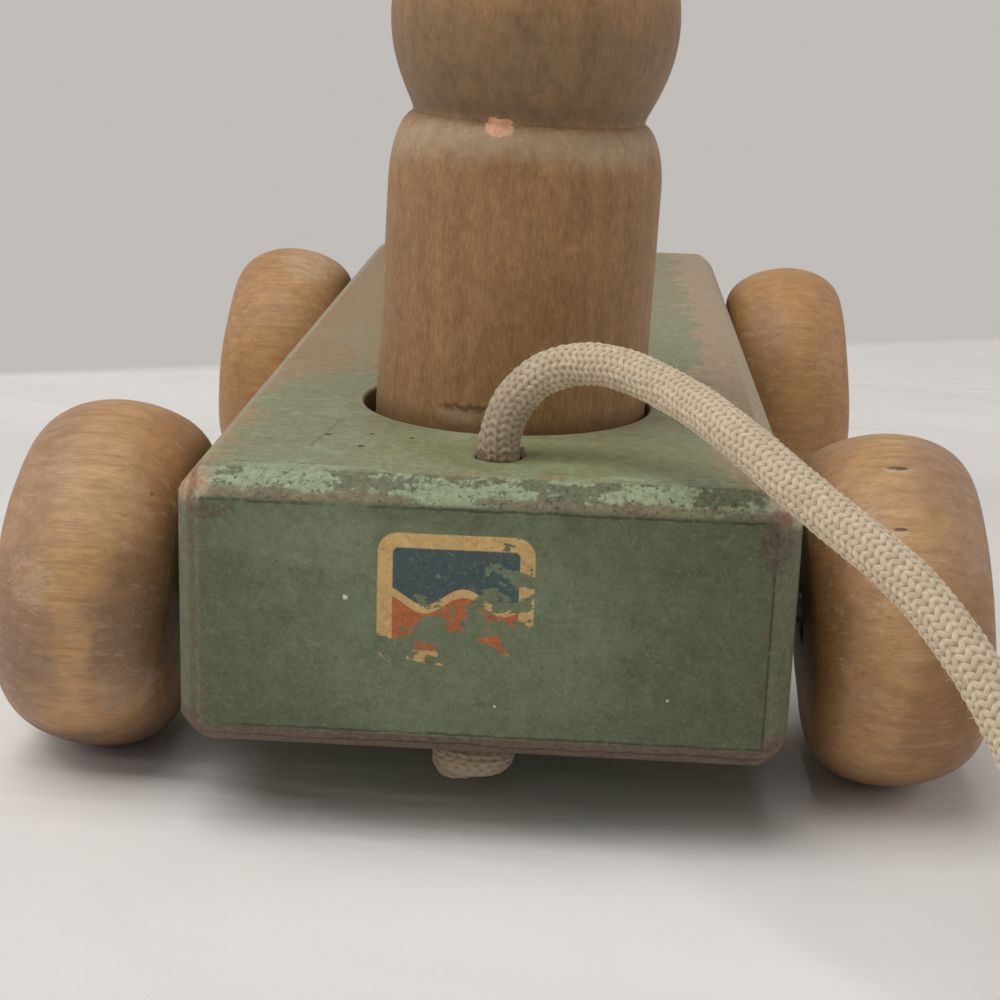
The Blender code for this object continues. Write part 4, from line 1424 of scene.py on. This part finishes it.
def tape_finish():
    tape = Finish("cotton_tape")
    x, y, z = tape.millimetres()
    weave = (x * 9.0).sine() * ((y + z) * 9.0).sine() * 0.5 + 0.5
    soil = tape.noise(4.0, detail=3.0)
    tape.colour = tape.mix(soil, linear(200, 191, 172), linear(226, 219, 203))
    tape.coat(tape.step(weave, 0.5, 0.2) * 0.45, (156, 143, 120))
    return tape.close(Roughness=0.9, Normal=tape.bump(weave, 0.16, 0.7))


plaited_cotton, loose_fibre = cotton_finish(), fibre_finish()
for piece in (cord, stop_knot, end_knot):
    dress(piece, plaited_cotton)
for piece in (fuzz, fray):
    dress(piece, loose_fibre)
dress(coil_tie, tape_finish())
print("cotton on the cord, its knots and its tie")

# %% [markdown]
# Screws and washers are dull steel, turned and then left to age in the counterbores of the wheels, and
# painted darker as shade in the narrow gap beside the block. Their solids already have the right shape,
# so they stay and only get a finish.


# %% Steel
def steel_finish(name, light, dark):
    steel = Finish(name)
    cloud = steel.noise(3.0, detail=4.0)
    scratch = steel.noise((0.3, 4.0, 0.3), detail=2.0)
    steel.colour = steel.mix(steel.step(cloud, 0.4, 0.65), linear(*light), linear(*dark))
    relief = steel.bump(scratch, 0.05, 0.4)
    return steel.close(Roughness=0.3 + 0.3 * cloud, Normal=relief, Metallic=1.0)


# Dark aged steel, darker still as painted shade in the gap between wheel and block.
screw_steel = steel_finish("aged_shaded_screw_steel", (96, 88, 80), (58, 48, 40))
washer_steel = steel_finish("aged_shaded_washer_steel", (92, 84, 76), (60, 50, 42))
for name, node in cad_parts.items():
    if name.startswith("wheel_screw"):
        node.material_slots[0].material = screw_steel
    elif "washer" in name:
        node.material_slots[0].material = washer_steel
print("steel on the screws and washers")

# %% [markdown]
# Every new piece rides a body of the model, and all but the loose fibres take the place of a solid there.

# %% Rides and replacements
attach(block, "chassis")
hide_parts("chassis_block")
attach(peg, "peg")
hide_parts("peg_driver")
for place, wheel in wheels.items():
    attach(wheel, "wheel_" + place)
    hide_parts("wheel_" + place)
for piece, nodes, slot in (
    (cord, ("pull_cord", "cord_coil"), "cotton_cord"),
    (stop_knot, ("cord_stop_knot",), "cotton_cord"),
    (end_knot, ("cord_end_knot",), "cotton_cord"),
    (coil_tie, ("coil_tie",), "tie_cotton"),
):
    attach(piece, "chassis")
    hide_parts(*nodes)
for piece in (fuzz, fray):
    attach(piece, "chassis")
print("pieces ride their bodies")

# %% [markdown]
# The toy stands on a pale floor of cloth, which changes to a plain grey backdrop along a slanting line
# behind it. A wall there would hide the toy from behind, so the floor goes on, and past the line a camera
# ray meets a flat grey.

# %% Floor
BACKDROP_Y = 258.0
BACKDROP_SLANT = 0.401
BACKDROP_SOFT = 7.0
BACKDROP_GREY = linear(194, 190, 186)
FLOOR_FADE = (700.0, 1500.0)
FLOOR_SIZE = 80.0
FLOOR_Z = -0.0004


def background_rays(graph):
    """1 for rays that show the background, straight or mirrored, and 0 for those that light the toy."""
    camera = graph.node("ShaderNodeLightPath", output="Is Camera Ray")
    glossy = graph.node("ShaderNodeLightPath", output="Is Glossy Ray")
    through = graph.node("ShaderNodeLightPath", output="Is Transmission Ray")
    return camera.most(glossy).most(through)


def floor_finish():
    cloth = Finish("pale_cloth")
    x, y, _ = cloth.millimetres()
    folds = cloth.noise((120.0, 60.0, 60.0), detail=3.0, bend=0.8)
    weave = (x * 8.0).sine() * (y * 8.0).sine() * 0.5 + 0.5
    cloth.colour = cloth.mix(folds, linear(241, 237, 232), linear(249, 246, 243))
    cloth.close(Roughness=0.95, Normal=cloth.bump(folds + weave * 0.004, 14.0, 0.35))
    past = cloth.step(y - x * BACKDROP_SLANT - BACKDROP_Y, -BACKDROP_SOFT, BACKDROP_SOFT)
    past = past.most(cloth.step((x * x + y * y).root(), *FLOOR_FADE))
    darker = tuple(0.97 * c for c in BACKDROP_GREY)
    grey = cloth.mix(cloth.noise((300.0, 90.0, 90.0)), darker, BACKDROP_GREY)
    backdrop = cloth.node("ShaderNodeEmission", sockets={"Color": grey, "Strength": 1.0})
    lit = Wire(cloth.tree, cloth.shader.outputs[0])
    either = {0: past * background_rays(cloth), 1: lit, 2: backdrop}
    cloth.show(cloth.node("ShaderNodeMixShader", sockets=either), "Material Output")
    return cloth.material


bpy.ops.object.select_all(action="DESELECT")
bpy.ops.mesh.primitive_plane_add(size=FLOOR_SIZE, location=(0, 0, FLOOR_Z))
floor_cloth = bpy.context.object
floor_cloth.name = "floor_cloth"
settle(floor_cloth)
dress(floor_cloth, floor_finish())
print("floor laid")

# %% [markdown]
# Four large soft lamps light the toy, most of it from above, and a weak even sky fills the shadows. Rays
# that show the background see the backdrop's grey instead of that sky, so that low views have no dark
# horizon.

# %% Light
LAMPS = {
    "ceiling_light": (14.5, 1.2, (-0.45, -0.4, 1.5), (0, -0.1, 0)),
    "front_light": (2.0, 1.2, (-0.3, -1.4, 1.3), (0, 0, 0)),
    "left_light": (4.8, 1.0, (-1.4, 0.0, 0.8), (0, 0, 0.05)),
    "right_light": (4.6, 1.0, (1.4, 0.0, 0.8), (0, 0, 0.05)),
}
SKY_COLOUR = (1.0, 0.98, 0.96)
SKY_STRENGTH = 0.14


def area_light(name, power, size, place, aim):
    data = bpy.data.lights.new(name, "AREA")
    data.energy = power
    data.shape = "RECTANGLE"
    data.size = size
    data.size_y = size
    lamp = bpy.data.objects.new(name, data)
    bpy.context.scene.collection.objects.link(lamp)
    lamp.location = place
    toward = np.array(aim) - np.array(place)
    toward = toward / np.linalg.norm(toward)
    flat = math.hypot(toward[0], toward[1])
    lamp.rotation_euler = (math.atan2(flat, -toward[2]), 0, math.atan2(-toward[0], toward[1]))


def even_sky():
    world = bpy.data.worlds.new("even_sky")
    world.use_nodes = True
    graph = Graph(world.node_tree)
    graph.tree.nodes.remove(graph.tree.nodes["Background"])
    sky = graph.node("ShaderNodeBackground", sockets={"Color": SKY_COLOUR, "Strength": SKY_STRENGTH})
    seen = graph.node("ShaderNodeBackground", sockets={"Color": BACKDROP_GREY, "Strength": 1.0})
    either = {0: background_rays(graph), 1: sky, 2: seen}
    graph.show(graph.node("ShaderNodeMixShader", sockets=either), "World Output")
    return world


for name, settings in LAMPS.items():
    area_light(name, *settings)
bpy.context.scene.world = even_sky()
print("light set:", len(LAMPS), "lamps and a sky")
